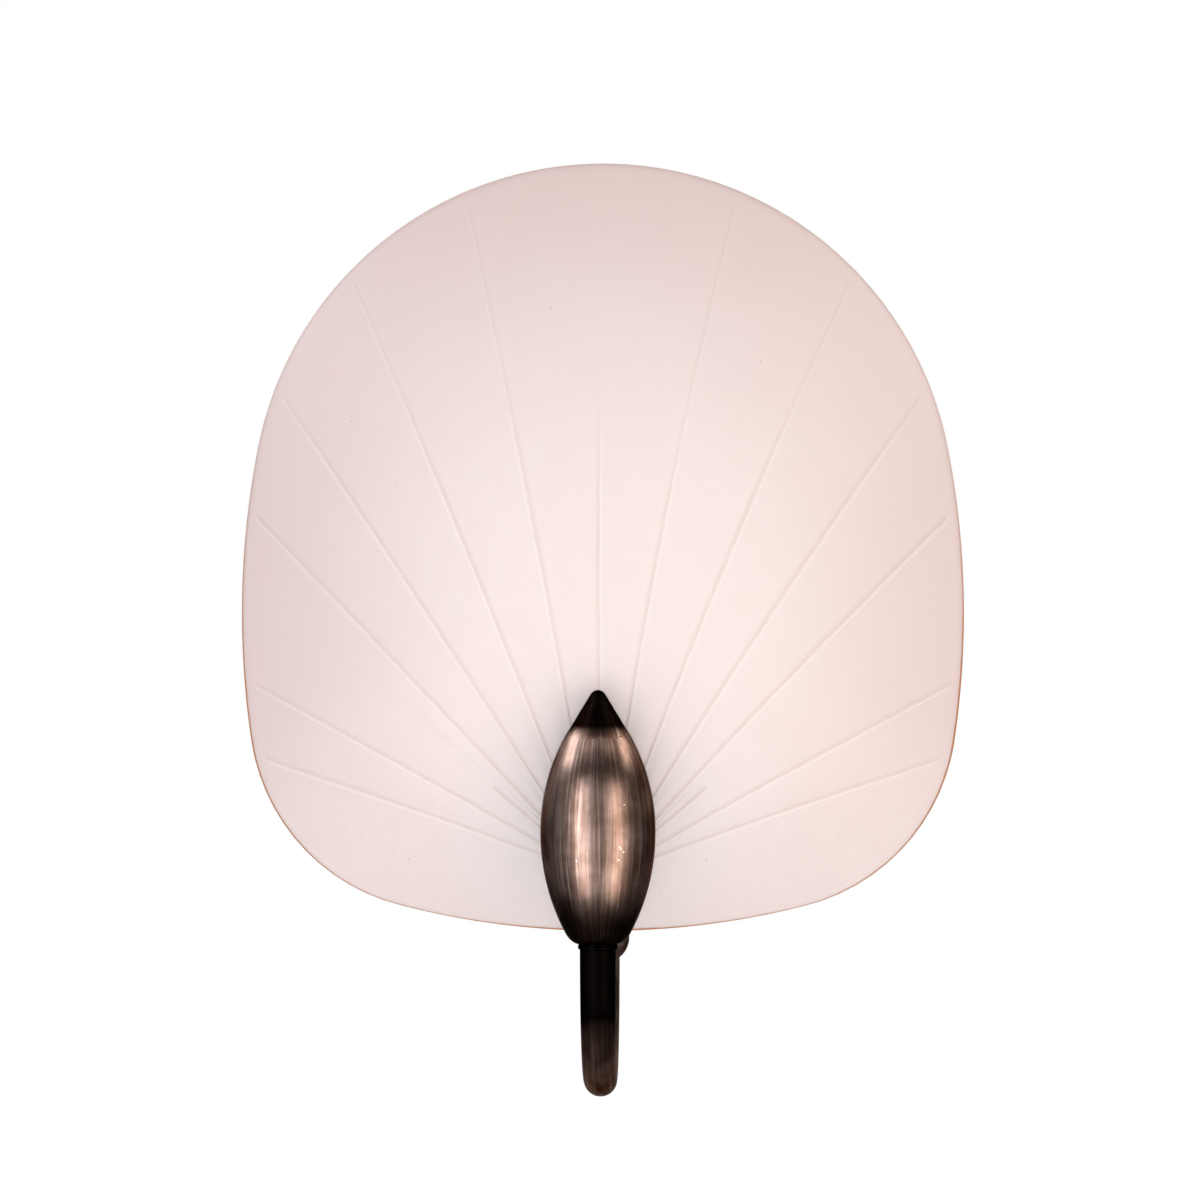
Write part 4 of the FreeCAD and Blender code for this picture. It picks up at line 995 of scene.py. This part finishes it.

# pinker towards the rim and less so low down; the paler middle it leaves is partly painted sheen
blush_and_middle_sheen = soft_range(bench, out + (clouds - 0.5) * 0.35, 0.25, 1.02)
blush_and_middle_sheen = blush_and_middle_sheen * soft_range(bench, height, *blush_levels, 0.45, 1.0)
speck_centres = [(x * mm, float(dome_front(x * mm, z * mm)), z * mm) for x, z in speck_places]
specks = spots(bench, place, speck_centres, speck_radius)
grit, grit_pick = (
    bench.add("ShaderNodeTexVoronoi", inputs={"Vector": place, "Scale": grit_scale}, output=name)
    for name in ("Distance", "Color")
)
picked = coordinate(bench, grit_pick, "X") > grit_rarity
dust = soft_range(bench, grit, 0.035, 0.015) * picked
# the brown edge: over the rim mask, with a ragged border
brown_edge = soft_range(bench, edge + (noise(bench, place, 160) - 0.5) * 0.15, 0.36, 0.58)
# distance from the pod's foot, for the painted light that lifts the pod's shadow
from_foot = distance_to(bench, place, painted_light_centre)
# coats: rim blush with painted sheen in the middle, blotches, painted light round the pod, painted shade in
# the grooves, painted highlight on their lips, brush traces, specks and dust, brown edge
colour = coated(bench, glaze_pale, (
    (blush_and_middle_sheen, glaze_blush),
    (soft_range(bench, blotches, 0.35, 0.75, 0.0, 0.16), glaze_blush),
    (soft_range(bench, from_foot, *painted_light_range, 0.0, 0.80), painted_light_glaze),
    (soft_range(bench, groove, 0.02, 0.95, 0.0, 0.52), groove_shade_colour),
    (soft_range(bench, groove, -0.02, -0.14, 0.0, 0.50), lip_highlight_and_brush),
    (low_down * soft_range(bench, brushed, 0.48, 0.68, 0.0, 0.22), lip_highlight_and_brush),
    (specks * 0.55 + dust * 0.22, speck_colour),
    (brown_edge * soft_range(bench, height, *brown_edge_levels, 0.12, 0.92), brown_edge_colour),
))
roughness = glaze_roughness + (clouds - 0.5) * 0.10 + (coarse_grain - 0.5) * 0.12 + brown_edge * 0.20
relief = fine_grain * 0.30 + coarse_grain * 0.35 + blotches * 0.35 + brushed * low_down * 0.80
inputs = {"Base Color": colour, "Roughness": roughness, "Specular IOR Level": glaze_sheen}
end_finish(bench, inputs, relief, glaze_depth)
print("glaze:", len(glaze.node_tree.nodes), "nodes")

# %% [markdown]
# ## Brushed bronze
# Pod and tube are dark oxidised bronze, brushed along their length and waxed. The brush leaves
# lines that run from pole to pole, a little lighter where they catch the strips, and the
# oxide is uneven in soft patches. The front of the cone, the pod's foot and the tube's front leg
# are painted black as shade, set apart by masks of height and depth, so the wall cover stays
# brown. Glints and a pale scratch are painted on the pod's front, and a pit is painted black.
# The lines must follow the surface, so the noise reads the attribute grain, whose third number
# runs along the piece, and is stretched along it.

# %% bronze
bronze_dark = (0.056, 0.034, 0.026, 1)
bronze_warm = (0.152, 0.108, 0.093, 1)
bronze_rubbed = (0.260, 0.196, 0.168, 1)
# painted shade: black on the front of the cone, the pod's foot and the front leg; also the black of the pit
shade_and_pit_black = (0.0008, 0.0005, 0.0005, 1)
# painted glints on the pod's front, and a pale scratch
glint_and_scratch_colour = (0.700, 0.560, 0.440, 1)
glint_and_scratch_places = ((9.2, -28.6), (9.6, -29.4), (10.8, -30.6), (8.8, -33.8), (-8.0, -34.2), (11.0, -11.8))
mark_radius = 0.38 * mm
pit_places = ((9.2, 15.0),)
pit_radius = 0.60 * mm
front_depth = (-70.0 * mm, -78.0 * mm)
front_half_depth = (-105.0 * mm, -112.0 * mm)
leg_top = (-69.0 * mm, -69.6 * mm)
leg_end = (-120.0 * mm, -98.0 * mm)
foot_levels = (-38.0 * mm, -62.0 * mm)
foot_end = (-69.6 * mm, -69.0 * mm)
cone_levels = (14.8 * mm, 19.6 * mm)
arm_levels = (-69.0 * mm, -74.0 * mm)
wrinkle_top = (-40.0 * mm, -60.0 * mm)
wrinkle_end = (-70.0 * mm, -68.0 * mm)
bronze_roughness = 0.31
arm_roughness = 0.10
brush_glance = 0.7
edge_tint = (0.30, 0.27, 0.26, 1)
bronze_depth = 0.030 * mm

bronze, bench, place = start_finish("bronze")
grain = attribute(bench, "grain", "Vector")
wide_lines = noise(bench, stretched(bench, grain, (900, 900, 22)), 1.0, 3.0)
thin_lines = noise(bench, stretched(bench, grain, (2600, 2600, 60)), 1.0, 2.0)
wrinkles = noise(bench, stretched(bench, grain, (60, 60, 700)), 1.0, 3.0)
patches = noise(bench, place, 70, 4.0)
stains = noise(bench, place, 230, 3.0)
height = coordinate(bench, place, "Z")
depth_in = coordinate(bench, place, "Y")
lines_seen = wide_lines * 0.6 + thin_lines * 0.4
in_front = soft_range(bench, depth_in, *front_depth)
on_front_leg = in_front * soft_range(bench, height, *leg_top)
# masks of the painted shade on the front leg, the pod's foot and the cone
leg_shade = on_front_leg * soft_range(bench, height, *leg_end)
foot_shade = soft_range(bench, height, *foot_levels, 0.0, 0.80) * soft_range(bench, height, *foot_end)
cone_shade = soft_range(bench, height, *cone_levels) * 0.97
front_half = soft_range(bench, depth_in, *front_half_depth)
seen_flat = stretched(bench, place, (1.0, 0.0, 1.0))
# painted glints and a scratch, and a pit, on the pod's front half
glints_and_scratch, pit = (
    spots(bench, seen_flat, [(x * mm, 0, z * mm) for x, z in places], radius)
    for places, radius in ((glint_and_scratch_places, mark_radius), (pit_places, pit_radius))
)
colour = coated(bench, bronze_dark, (
    (soft_range(bench, patches, 0.30, 0.72), bronze_warm),
    (soft_range(bench, stains, 0.55, 0.75, 0.0, 0.35), bronze_dark),
    (soft_range(bench, lines_seen, 0.50, 0.68, 0.0, 0.55), bronze_rubbed),
    (soft_range(bench, lines_seen, 0.50, 0.36, 0.0, 0.60), bronze_dark),
    (leg_shade + in_front * (cone_shade + foot_shade), shade_and_pit_black),
    (glints_and_scratch * front_half * 0.50, glint_and_scratch_colour),
    (pit * front_half * 0.85, shade_and_pit_black),
))
uneven = (wide_lines - 0.5) * 0.10 + (patches - 0.5) * 0.08 + (stains - 0.5) * 0.05
on_arm = soft_range(bench, height, *arm_levels)
near_foot = soft_range(bench, height, *wrinkle_top) * soft_range(bench, height, *wrinkle_end)
calm = 1.0 - on_front_leg * 0.8
relief = (wide_lines * 0.5 + thin_lines * 0.35 + wrinkles * near_foot * 0.6) * calm
inputs = {
    "Base Color": colour, "Metallic": 1.0, "Anisotropic": brush_glance, "Specular Tint": edge_tint,
    "Roughness": bronze_roughness + on_arm * arm_roughness + uneven,
}
end_finish(bench, inputs, relief, bronze_depth)
print("bronze:", len(bronze.node_tree.nodes), "nodes")

# %% [markdown]
# ## Threads, rings and washers
# A thread is a turned part whose radius swings in and out along a helix, so the function for
# turned parts makes it too: the swing depends on height and turn together. The stud, the two
# nipples and the lamp's screw cap get real threads, because a nut on a plain rod looks
# unfinished. Washers and rings are small closed profiles with rounded edges.


# %% threads and rings
rod_bore = 3.5 * mm
rod_chamfer = 0.5 * mm
rod_pitch = 1.0 * mm
rod_thread_depth = 0.5 * mm
steps_per_pitch = 8


def rod_profile(bore, radius, low, high, chamfer):
    """A threaded hollow rod: the outside with a row for each part of a pitch, and the bore."""
    rows = int((high - low - 2 * chamfer) / rod_pitch * steps_per_pitch)
    return np.concatenate([
        run((radius - chamfer, low), (radius, low + chamfer)),
        run((radius, low + chamfer), (radius, high - chamfer), rows)[1:-1],
        run((radius, high - chamfer), (radius - chamfer, high)),
        run((bore, high), (bore, low)),
    ])


def lamp_part(piece, slot, *parts, body="lamp"):
    """A piece that stands for CAD parts of a body and takes its finish from a slot."""
    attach(piece, body)
    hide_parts(*parts)
    dressed.append((piece, slot))
    return piece


def along_axis(node, axis):
    """The middle of a node across an axis, and its low and high ends along it."""
    low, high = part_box(node)
    centre = (low + high) / 2
    index = "XYZ".index(axis)
    centre[index] = 0.0
    return centre, low[index], high[index]


def node_radius(node):
    """Half the width of a round node."""
    low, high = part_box(node)
    return (high.x - low.x) / 2


def ring_piece(name, node, slot, edge):
    """A washer or ring in the place of a node, on the stud."""
    centre, low, high = along_axis(node, "Y")
    profile = ring_profile(metric_bore, node_radius(node), low, high, edge)
    return lamp_part(turned_piece(name, profile, centre, 96, "Y"), slot, node)


def rod_piece(name, node, slot, axis):
    """A threaded hollow rod in the place of a node."""
    centre, low, high = along_axis(node, axis)
    radius = node_radius(node)
    profile = rod_profile(rod_bore, radius, low, high, rod_chamfer)
    on_thread = (profile[:, 0] > radius - 1e-6).astype(float)
    thread = (on_thread * rod_thread_depth, rod_pitch)
    return lamp_part(turned_piece(name, profile, centre, 64, axis, thread), slot, node)


ring_piece("spacer", "spacer_ring", "bronze", 0.5 * mm)
ring_piece("front_seal", "front_washer", "rubber", 0.6 * mm)
ring_piece("rear_seal", "rear_washer", "rubber", 0.6 * mm)
ring_piece("flat_washer", "steel_washer", "steel", 0.2 * mm)
stud = rod_piece("stud", "shade_stud", "steel", "Y")
nipple_front = rod_piece("nipple_front", "front_nipple", "steel", "Z")
nipple_rear = rod_piece("nipple_rear", "rear_nipple", "steel", "Z")
print("rods:", [len(rod.data.polygons) for rod in (stud, nipple_front, nipple_rear)])

# %% [markdown]
# ## The pad of the shell
# Where the stud passes, the casting swells to a round pad with parallel faces, so that the
# washers sit flat on the dome. It is turned round the stud's axis with soft edges that run
# into the wall.

# %% shell pad
seal_low, seal_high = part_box("front_washer")
pad_front = seal_high.y
pad_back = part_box("rear_washer")[0].y
pad_radius = 12.0 * mm
pad_bore = 5.3 * mm
pad_edge = 1.6 * mm
stud_level = (seal_low.z + seal_high.z) / 2
pad_flare = 2.0 * mm


def pad_outline(rows=40):
    """A ring whose outside swells from both faces to the wall: radius + flare (1 - |u|)^2.

    The number u runs from -1 at the front face to 1 at the back face.
    """
    u = np.linspace(-1, 1, rows)
    level = (pad_front + pad_back) / 2 + u * (pad_back - pad_front - 2 * pad_edge) / 2
    swell = np.stack([pad_radius + pad_flare * (1 - np.abs(u)) ** 2, level], -1)
    front_round = arc_points((pad_radius - pad_edge, pad_front + pad_edge), pad_edge, -88, -4, 8)
    back_round = arc_points((pad_radius - pad_edge, pad_back - pad_edge), pad_edge, 4, 88, 8)
    return np.concatenate([
        [(pad_bore, pad_front)], front_round, swell, back_round, [(pad_bore, pad_back)],
    ])


pad = turned_piece("shell_pad", pad_outline(), (0, 0, stud_level), 96, "Y")
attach(pad, "lamp")
dressed.append((pad, "glaze"))
print("pad: from", round(pad_front, 4), "to", round(pad_back, 4))

# %% [markdown]
# ## The candle lamp
# The lamp's envelope is blown glass, frosted inside: a slim neck, a belly and a drawn-out tip.
# Its outline is an S of cosines from the neck to the belly and one Bezier curve from there to
# the ball of the tip. The same outline with a smaller radius is the inside. The screw cap is
# thin sheet with a rolled thread of 2.82 mm pitch.

# %% envelope
glass_low, glass_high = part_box("bulb_glass")
cap_low, cap_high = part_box("bulb_cap")
bulb_centre = (0, (cap_low.y + cap_high.y) / 2, 0)
glass_wall = 0.8 * mm
neck_radius = 6.0 * mm
belly_radius = 17.5 * mm
glass_tip_radius = 3.0 * mm
neck_level = cap_high.z + 1.0 * mm
belly_level = cap_high.z + 24.0 * mm
tip_touch = 35.0
tip_pull = 15.0 * mm
belly_pull = 16.0 * mm


def bezier(points, count):
    """Points on a cubic Bezier curve: the corners weighted by (1-t)^3, 3t(1-t)^2, 3t^2(1-t), t^3."""
    t = np.linspace(0, 1, count)[:, None]
    first, second, third, last = (np.array(p) for p in points)
    return (1 - t) ** 3 * first + 3 * t * (1 - t) ** 2 * second + 3 * t**2 * (1 - t) * third + t**3 * last


def envelope_outline(inset):
    """From the foot's middle to the tip: neck, belly and ball, all moved in by an inset."""
    foot = glass_low.z + inset
    neck = neck_radius - inset
    swell = (1 - np.cos(np.linspace(0, math.pi, 34))) / 2
    levels = np.linspace(neck_level, belly_level, 34)
    belly = np.stack([neck + (belly_radius - neck_radius) * swell, levels], -1)
    ball = (0.0, glass_high.z - glass_tip_radius)
    ball_arc = arc_points(ball, glass_tip_radius - inset, tip_touch, 90, 10)
    slope = np.array([math.sin(math.radians(tip_touch)), -math.cos(math.radians(tip_touch))])
    before_tip = ball_arc[0] + slope * tip_pull
    upper = bezier((belly[-1], belly[-1] + [0, belly_pull], before_tip, ball_arc[0]), 44)
    foot_edge = run((neck - 0.5 * mm, foot), (neck, foot + 0.5 * mm))
    return np.concatenate([[(0.0, foot)], foot_edge, belly, upper[1:], ball_arc[1:]])


envelope_loop = np.concatenate([envelope_outline(0.0), envelope_outline(glass_wall)[::-1]])
envelope = turned_piece("envelope", envelope_loop, bulb_centre, 112)
lamp_part(envelope, "glass", "bulb_glass", body="bulb")
print("envelope:", len(envelope.data.polygons), "faces")

# %% screw cap
cap_radius = 7.0 * mm
cap_wall = 0.5 * mm
cap_pitch = 2.82 * mm
cap_thread_depth = 0.85 * mm
cap_floor_radius = 3.0 * mm
cap_skirt = cap_radius - 0.05 * mm
cap_corner = 1.4 * mm
roll_inset = 0.3 * mm
roll_radius = 0.35 * mm
thread_low = cap_low.z + 2.5 * mm
thread_high = cap_low.z + 15.0 * mm
cap_rows = 70


def cap_profile():
    """Outside from the floor up, rolled rim, inside down. The second result swings on the thread."""
    rise = np.linspace(thread_low, thread_high, cap_rows)
    bore = cap_skirt - cap_wall
    outside = np.concatenate([
        run((cap_floor_radius, cap_low.z), (cap_skirt - cap_corner, cap_low.z)),
        run((cap_skirt, cap_low.z + cap_corner), (cap_skirt, thread_low - 0.2 * mm)),
        np.stack([np.full(cap_rows, cap_skirt), rise], -1),
        run((cap_skirt, thread_high + 0.4 * mm), (cap_skirt, cap_high.z - 0.8 * mm)),
        arc_points((cap_skirt - roll_inset, cap_high.z - roll_radius), roll_radius, -40, 150, 8),
    ])
    inside = np.stack([np.full(cap_rows, bore), rise[::-1]], -1)
    floor_level = cap_low.z + 1.0 * mm
    foot = run((bore - cap_corner, floor_level), (cap_floor_radius, floor_level))
    profile = np.concatenate([outside, inside, foot])
    share = (profile[:, 1] - thread_low) / (thread_high - thread_low)
    fade = smooth_step(0, 0.12, share) * smooth_step(0, 0.12, 1 - share)
    return profile, fade * cap_thread_depth


cap_loop, cap_swing = cap_profile()
cap = turned_piece("screw_cap", cap_loop, bulb_centre, 96, "Z", (cap_swing, cap_pitch))
lamp_part(cap, "steel", "bulb_cap", body="bulb")
print("cap:", len(cap.data.polygons), "faces")

# %% [markdown]
# ## Sheet metal and turned covers
# The wall cover, the brackets and the nuts have the right shape already. Real edges are never
# knife-sharp though, and it is the thin glint on an edge that tells the eye how large a part
# is. So each gets a merged copy of its CAD mesh with every sharp edge slightly broken.


# %% broken edges
def join_flat_faces(piece, angle=0.1):
    """Triangles that lie in one plane become one face, so a bevel and its shading stay clean."""
    shape = bmesh.new()
    shape.from_mesh(piece.data)
    bmesh.ops.dissolve_limit(shape, angle_limit=math.radians(angle), verts=shape.verts, edges=shape.edges)
    shape.to_mesh(piece.data)
    shape.free()


def broken_edges(node, slot, width):
    """A copy of a CAD part with its points merged and a narrow bevel on its sharp edges."""
    piece = bpy.data.objects.new(node + ".edged", nodes[node].data.copy())
    bpy.context.scene.collection.objects.link(piece)
    piece.data.materials.clear()
    close_poles(piece, 1e-6)
    join_flat_faces(piece)
    bevel = piece.modifiers.new("broken_edges", "BEVEL")
    bevel.width = width
    bevel.segments = 2
    bevel.limit_method = "ANGLE"
    bevel.angle_limit = sharp_angle
    bevel.use_clamp_overlap = True
    evened = piece.modifiers.new("even_shading", "WEIGHTED_NORMAL")
    evened.keep_sharp = True
    return lamp_part(piece, slot, node)


def store_spun_grain(piece, centre, axis):
    """The attribute grain of a part spun round an axis: its fine lines are circles round it.

    The first two numbers are the distance from the axis and the place along it. The third
    only drifts slowly round the circle.
    """
    count = len(piece.data.vertices)
    points = np.empty(count * 3)
    piece.data.vertices.foreach_get("co", points)
    points = points.reshape(-1, 3) - np.array(centre)
    index = "XYZ".index(axis)
    first, second = (points[:, i] for i in range(3) if i != index)
    distance = np.hypot(first, second)
    drift = first / np.maximum(distance, 1e-6) * 6.0 * mm
    layer = piece.data.attributes.new("grain", "FLOAT_VECTOR", "POINT")
    layer.data.foreach_set("vector", np.stack([distance, points[:, index], drift], -1).reshape(-1))


cover = broken_edges("wall_canopy", "bronze", 0.25 * mm)
store_spun_grain(cover, (0, 0, 0), "Y")
knurled = broken_edges("canopy_screws", "bronze", 0.15 * mm)
knurl_low, knurl_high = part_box("canopy_screws")
store_spun_grain(knurled, (knurl_low + knurl_high) / 2, "X")
broken_edges("wall_bracket", "steel", 0.20 * mm)
broken_edges("holder_bracket", "steel", 0.20 * mm)
broken_edges("shade_nut", "steel", 0.25 * mm)
broken_edges("rear_lock_nut", "steel", 0.25 * mm)
broken_edges("terminal_block", "white_plastic", 0.25 * mm)
broken_edges("holder_body", "ceramic", 0.35 * mm)
print("edged:", len(cover.data.polygons), "faces in the cover")

# %% [markdown]
# ## Small finishes
# The rest of the lamp is everyday hardware: zinc-plated steel with a cloudy spangle, brass that
# has gone a little dull, rubber, unglazed porcelain, moulded plastic and insulated wire. Each
# is two near colours in soft clouds, with a fine grain in the roughness and the relief.


# %% finishes of two tones
dull = {}
metal = {"Metallic": 1.0}
two_tones = {
    "steel": ("zinc", (0.62, 0.62, 0.61), (0.55, 0.555, 0.56), (160, 2600), 0.36, 0.010, metal),
    "brass": ("dull_brass", (0.80, 0.60, 0.30), (0.60, 0.42, 0.18), (260, 2200), 0.30, 0.008, metal),
    "rubber": ("rubber", (0.030, 0.030, 0.030), (0.050, 0.048, 0.045), (200, 1500), 0.62, 0.020, dull),
    "ceramic": ("porcelain", (0.86, 0.85, 0.81), (0.80, 0.785, 0.74), (90, 1200), 0.36, 0.010, dull),
    "black_plastic": (
        "black_button", (0.020, 0.020, 0.022), (0.034, 0.032, 0.032), (400, 1500), 0.22, 0.006, dull),
    "white_plastic": (
        "pale_plastic", (0.84, 0.84, 0.81), (0.79, 0.78, 0.74), (120, 1800), 0.42, 0.012, dull),
    "filament": ("phosphor", (0.92, 0.74, 0.26), (0.86, 0.64, 0.20), (900, 3500), 0.60, 0.015, dull),
    "brown_wire": (
        "brown_sleeve", (0.150, 0.062, 0.030), (0.190, 0.085, 0.044), (150, 1600), 0.40, 0.010, dull),
    "blue_wire": (
        "blue_sleeve", (0.030, 0.105, 0.360), (0.048, 0.140, 0.430), (150, 1600), 0.40, 0.010, dull),
}


def two_tone(name, first, second, sizes, rough, depth, constants):
    """Two near colours in clouds, and a fine grain in the roughness and the relief.

    The sizes are clouds and grains per metre, the depth of the relief is in millimetres.
    """
    material, bench, place = start_finish(name)
    clouds = noise(bench, place, sizes[0], 4.0)
    grains = noise(bench, place, sizes[1], 2.0)
    colour = mixed(bench, soft_range(bench, clouds, 0.32, 0.68), (*first, 1), (*second, 1))
    roughness = rough + (grains - 0.5) * 0.16 + (clouds - 0.5) * 0.12
    end_finish(bench, {"Base Color": colour, "Roughness": roughness, **constants}, grains, depth * mm)
    return material


slot_finish = {slot: two_tone(*settings) for slot, settings in two_tones.items()}
slot_finish.update({"bronze": bronze, "glaze": glaze})
print("two-toned finishes:", len(two_tones))

# %% glass and striped sleeve
clear_relief = 0.010 * mm
stripe_scale = 45

slot_finish["glass"], bench, place = start_finish("frosted_glass")
frost = noise(bench, place, 1500, 2.0)
haze = noise(bench, place, 60)
colour = mixed(bench, haze, (0.97, 0.96, 0.93, 1), (0.93, 0.92, 0.90, 1))
inputs = {
    "Base Color": colour, "Roughness": 0.42 + (frost - 0.5) * 0.2, "IOR": 1.46, "Transmission Weight": 0.55,
}
end_finish(bench, inputs, frost, clear_relief)

slot_finish["clear_glass"], bench, place = start_finish("stem_glass")
streaks = noise(bench, stretched(bench, place, (900, 900, 60)), 1.0, 2.0)
colour = mixed(bench, streaks, (0.98, 0.99, 0.98, 1), (0.93, 0.95, 0.94, 1))
inputs = {
    "Base Color": colour, "Roughness": 0.05 + streaks * 0.05, "IOR": 1.5, "Transmission Weight": 0.9,
}
end_finish(bench, inputs, streaks, clear_relief)

slot_finish["earth_wire"], bench, place = start_finish("striped_sleeve")
bands = {"wave_type": "BANDS", "bands_direction": "X"}
wave = bench.add("ShaderNodeTexWave", bands, {"Vector": place, "Scale": stripe_scale})
grains = noise(bench, place, 1600, 2.0)
striped = soft_range(bench, wave, 0.45, 0.55)
colour = mixed(bench, striped, (0.080, 0.330, 0.060, 1), (0.800, 0.640, 0.050, 1))
inputs = {"Base Color": colour, "Roughness": 0.38 + (grains - 0.5) * 0.14}
end_finish(bench, inputs, grains, clear_relief)
print("glass and sleeve: done")

# %% every part gets its finish
for piece, slot in dressed:
    piece.data.materials.append(slot_finish[slot])
for part in frame["record"]["subparts"]:
    mesh = nodes[part["node"]].data
    mesh.materials.clear()
    mesh.materials.append(slot_finish[part["material_slot"]])
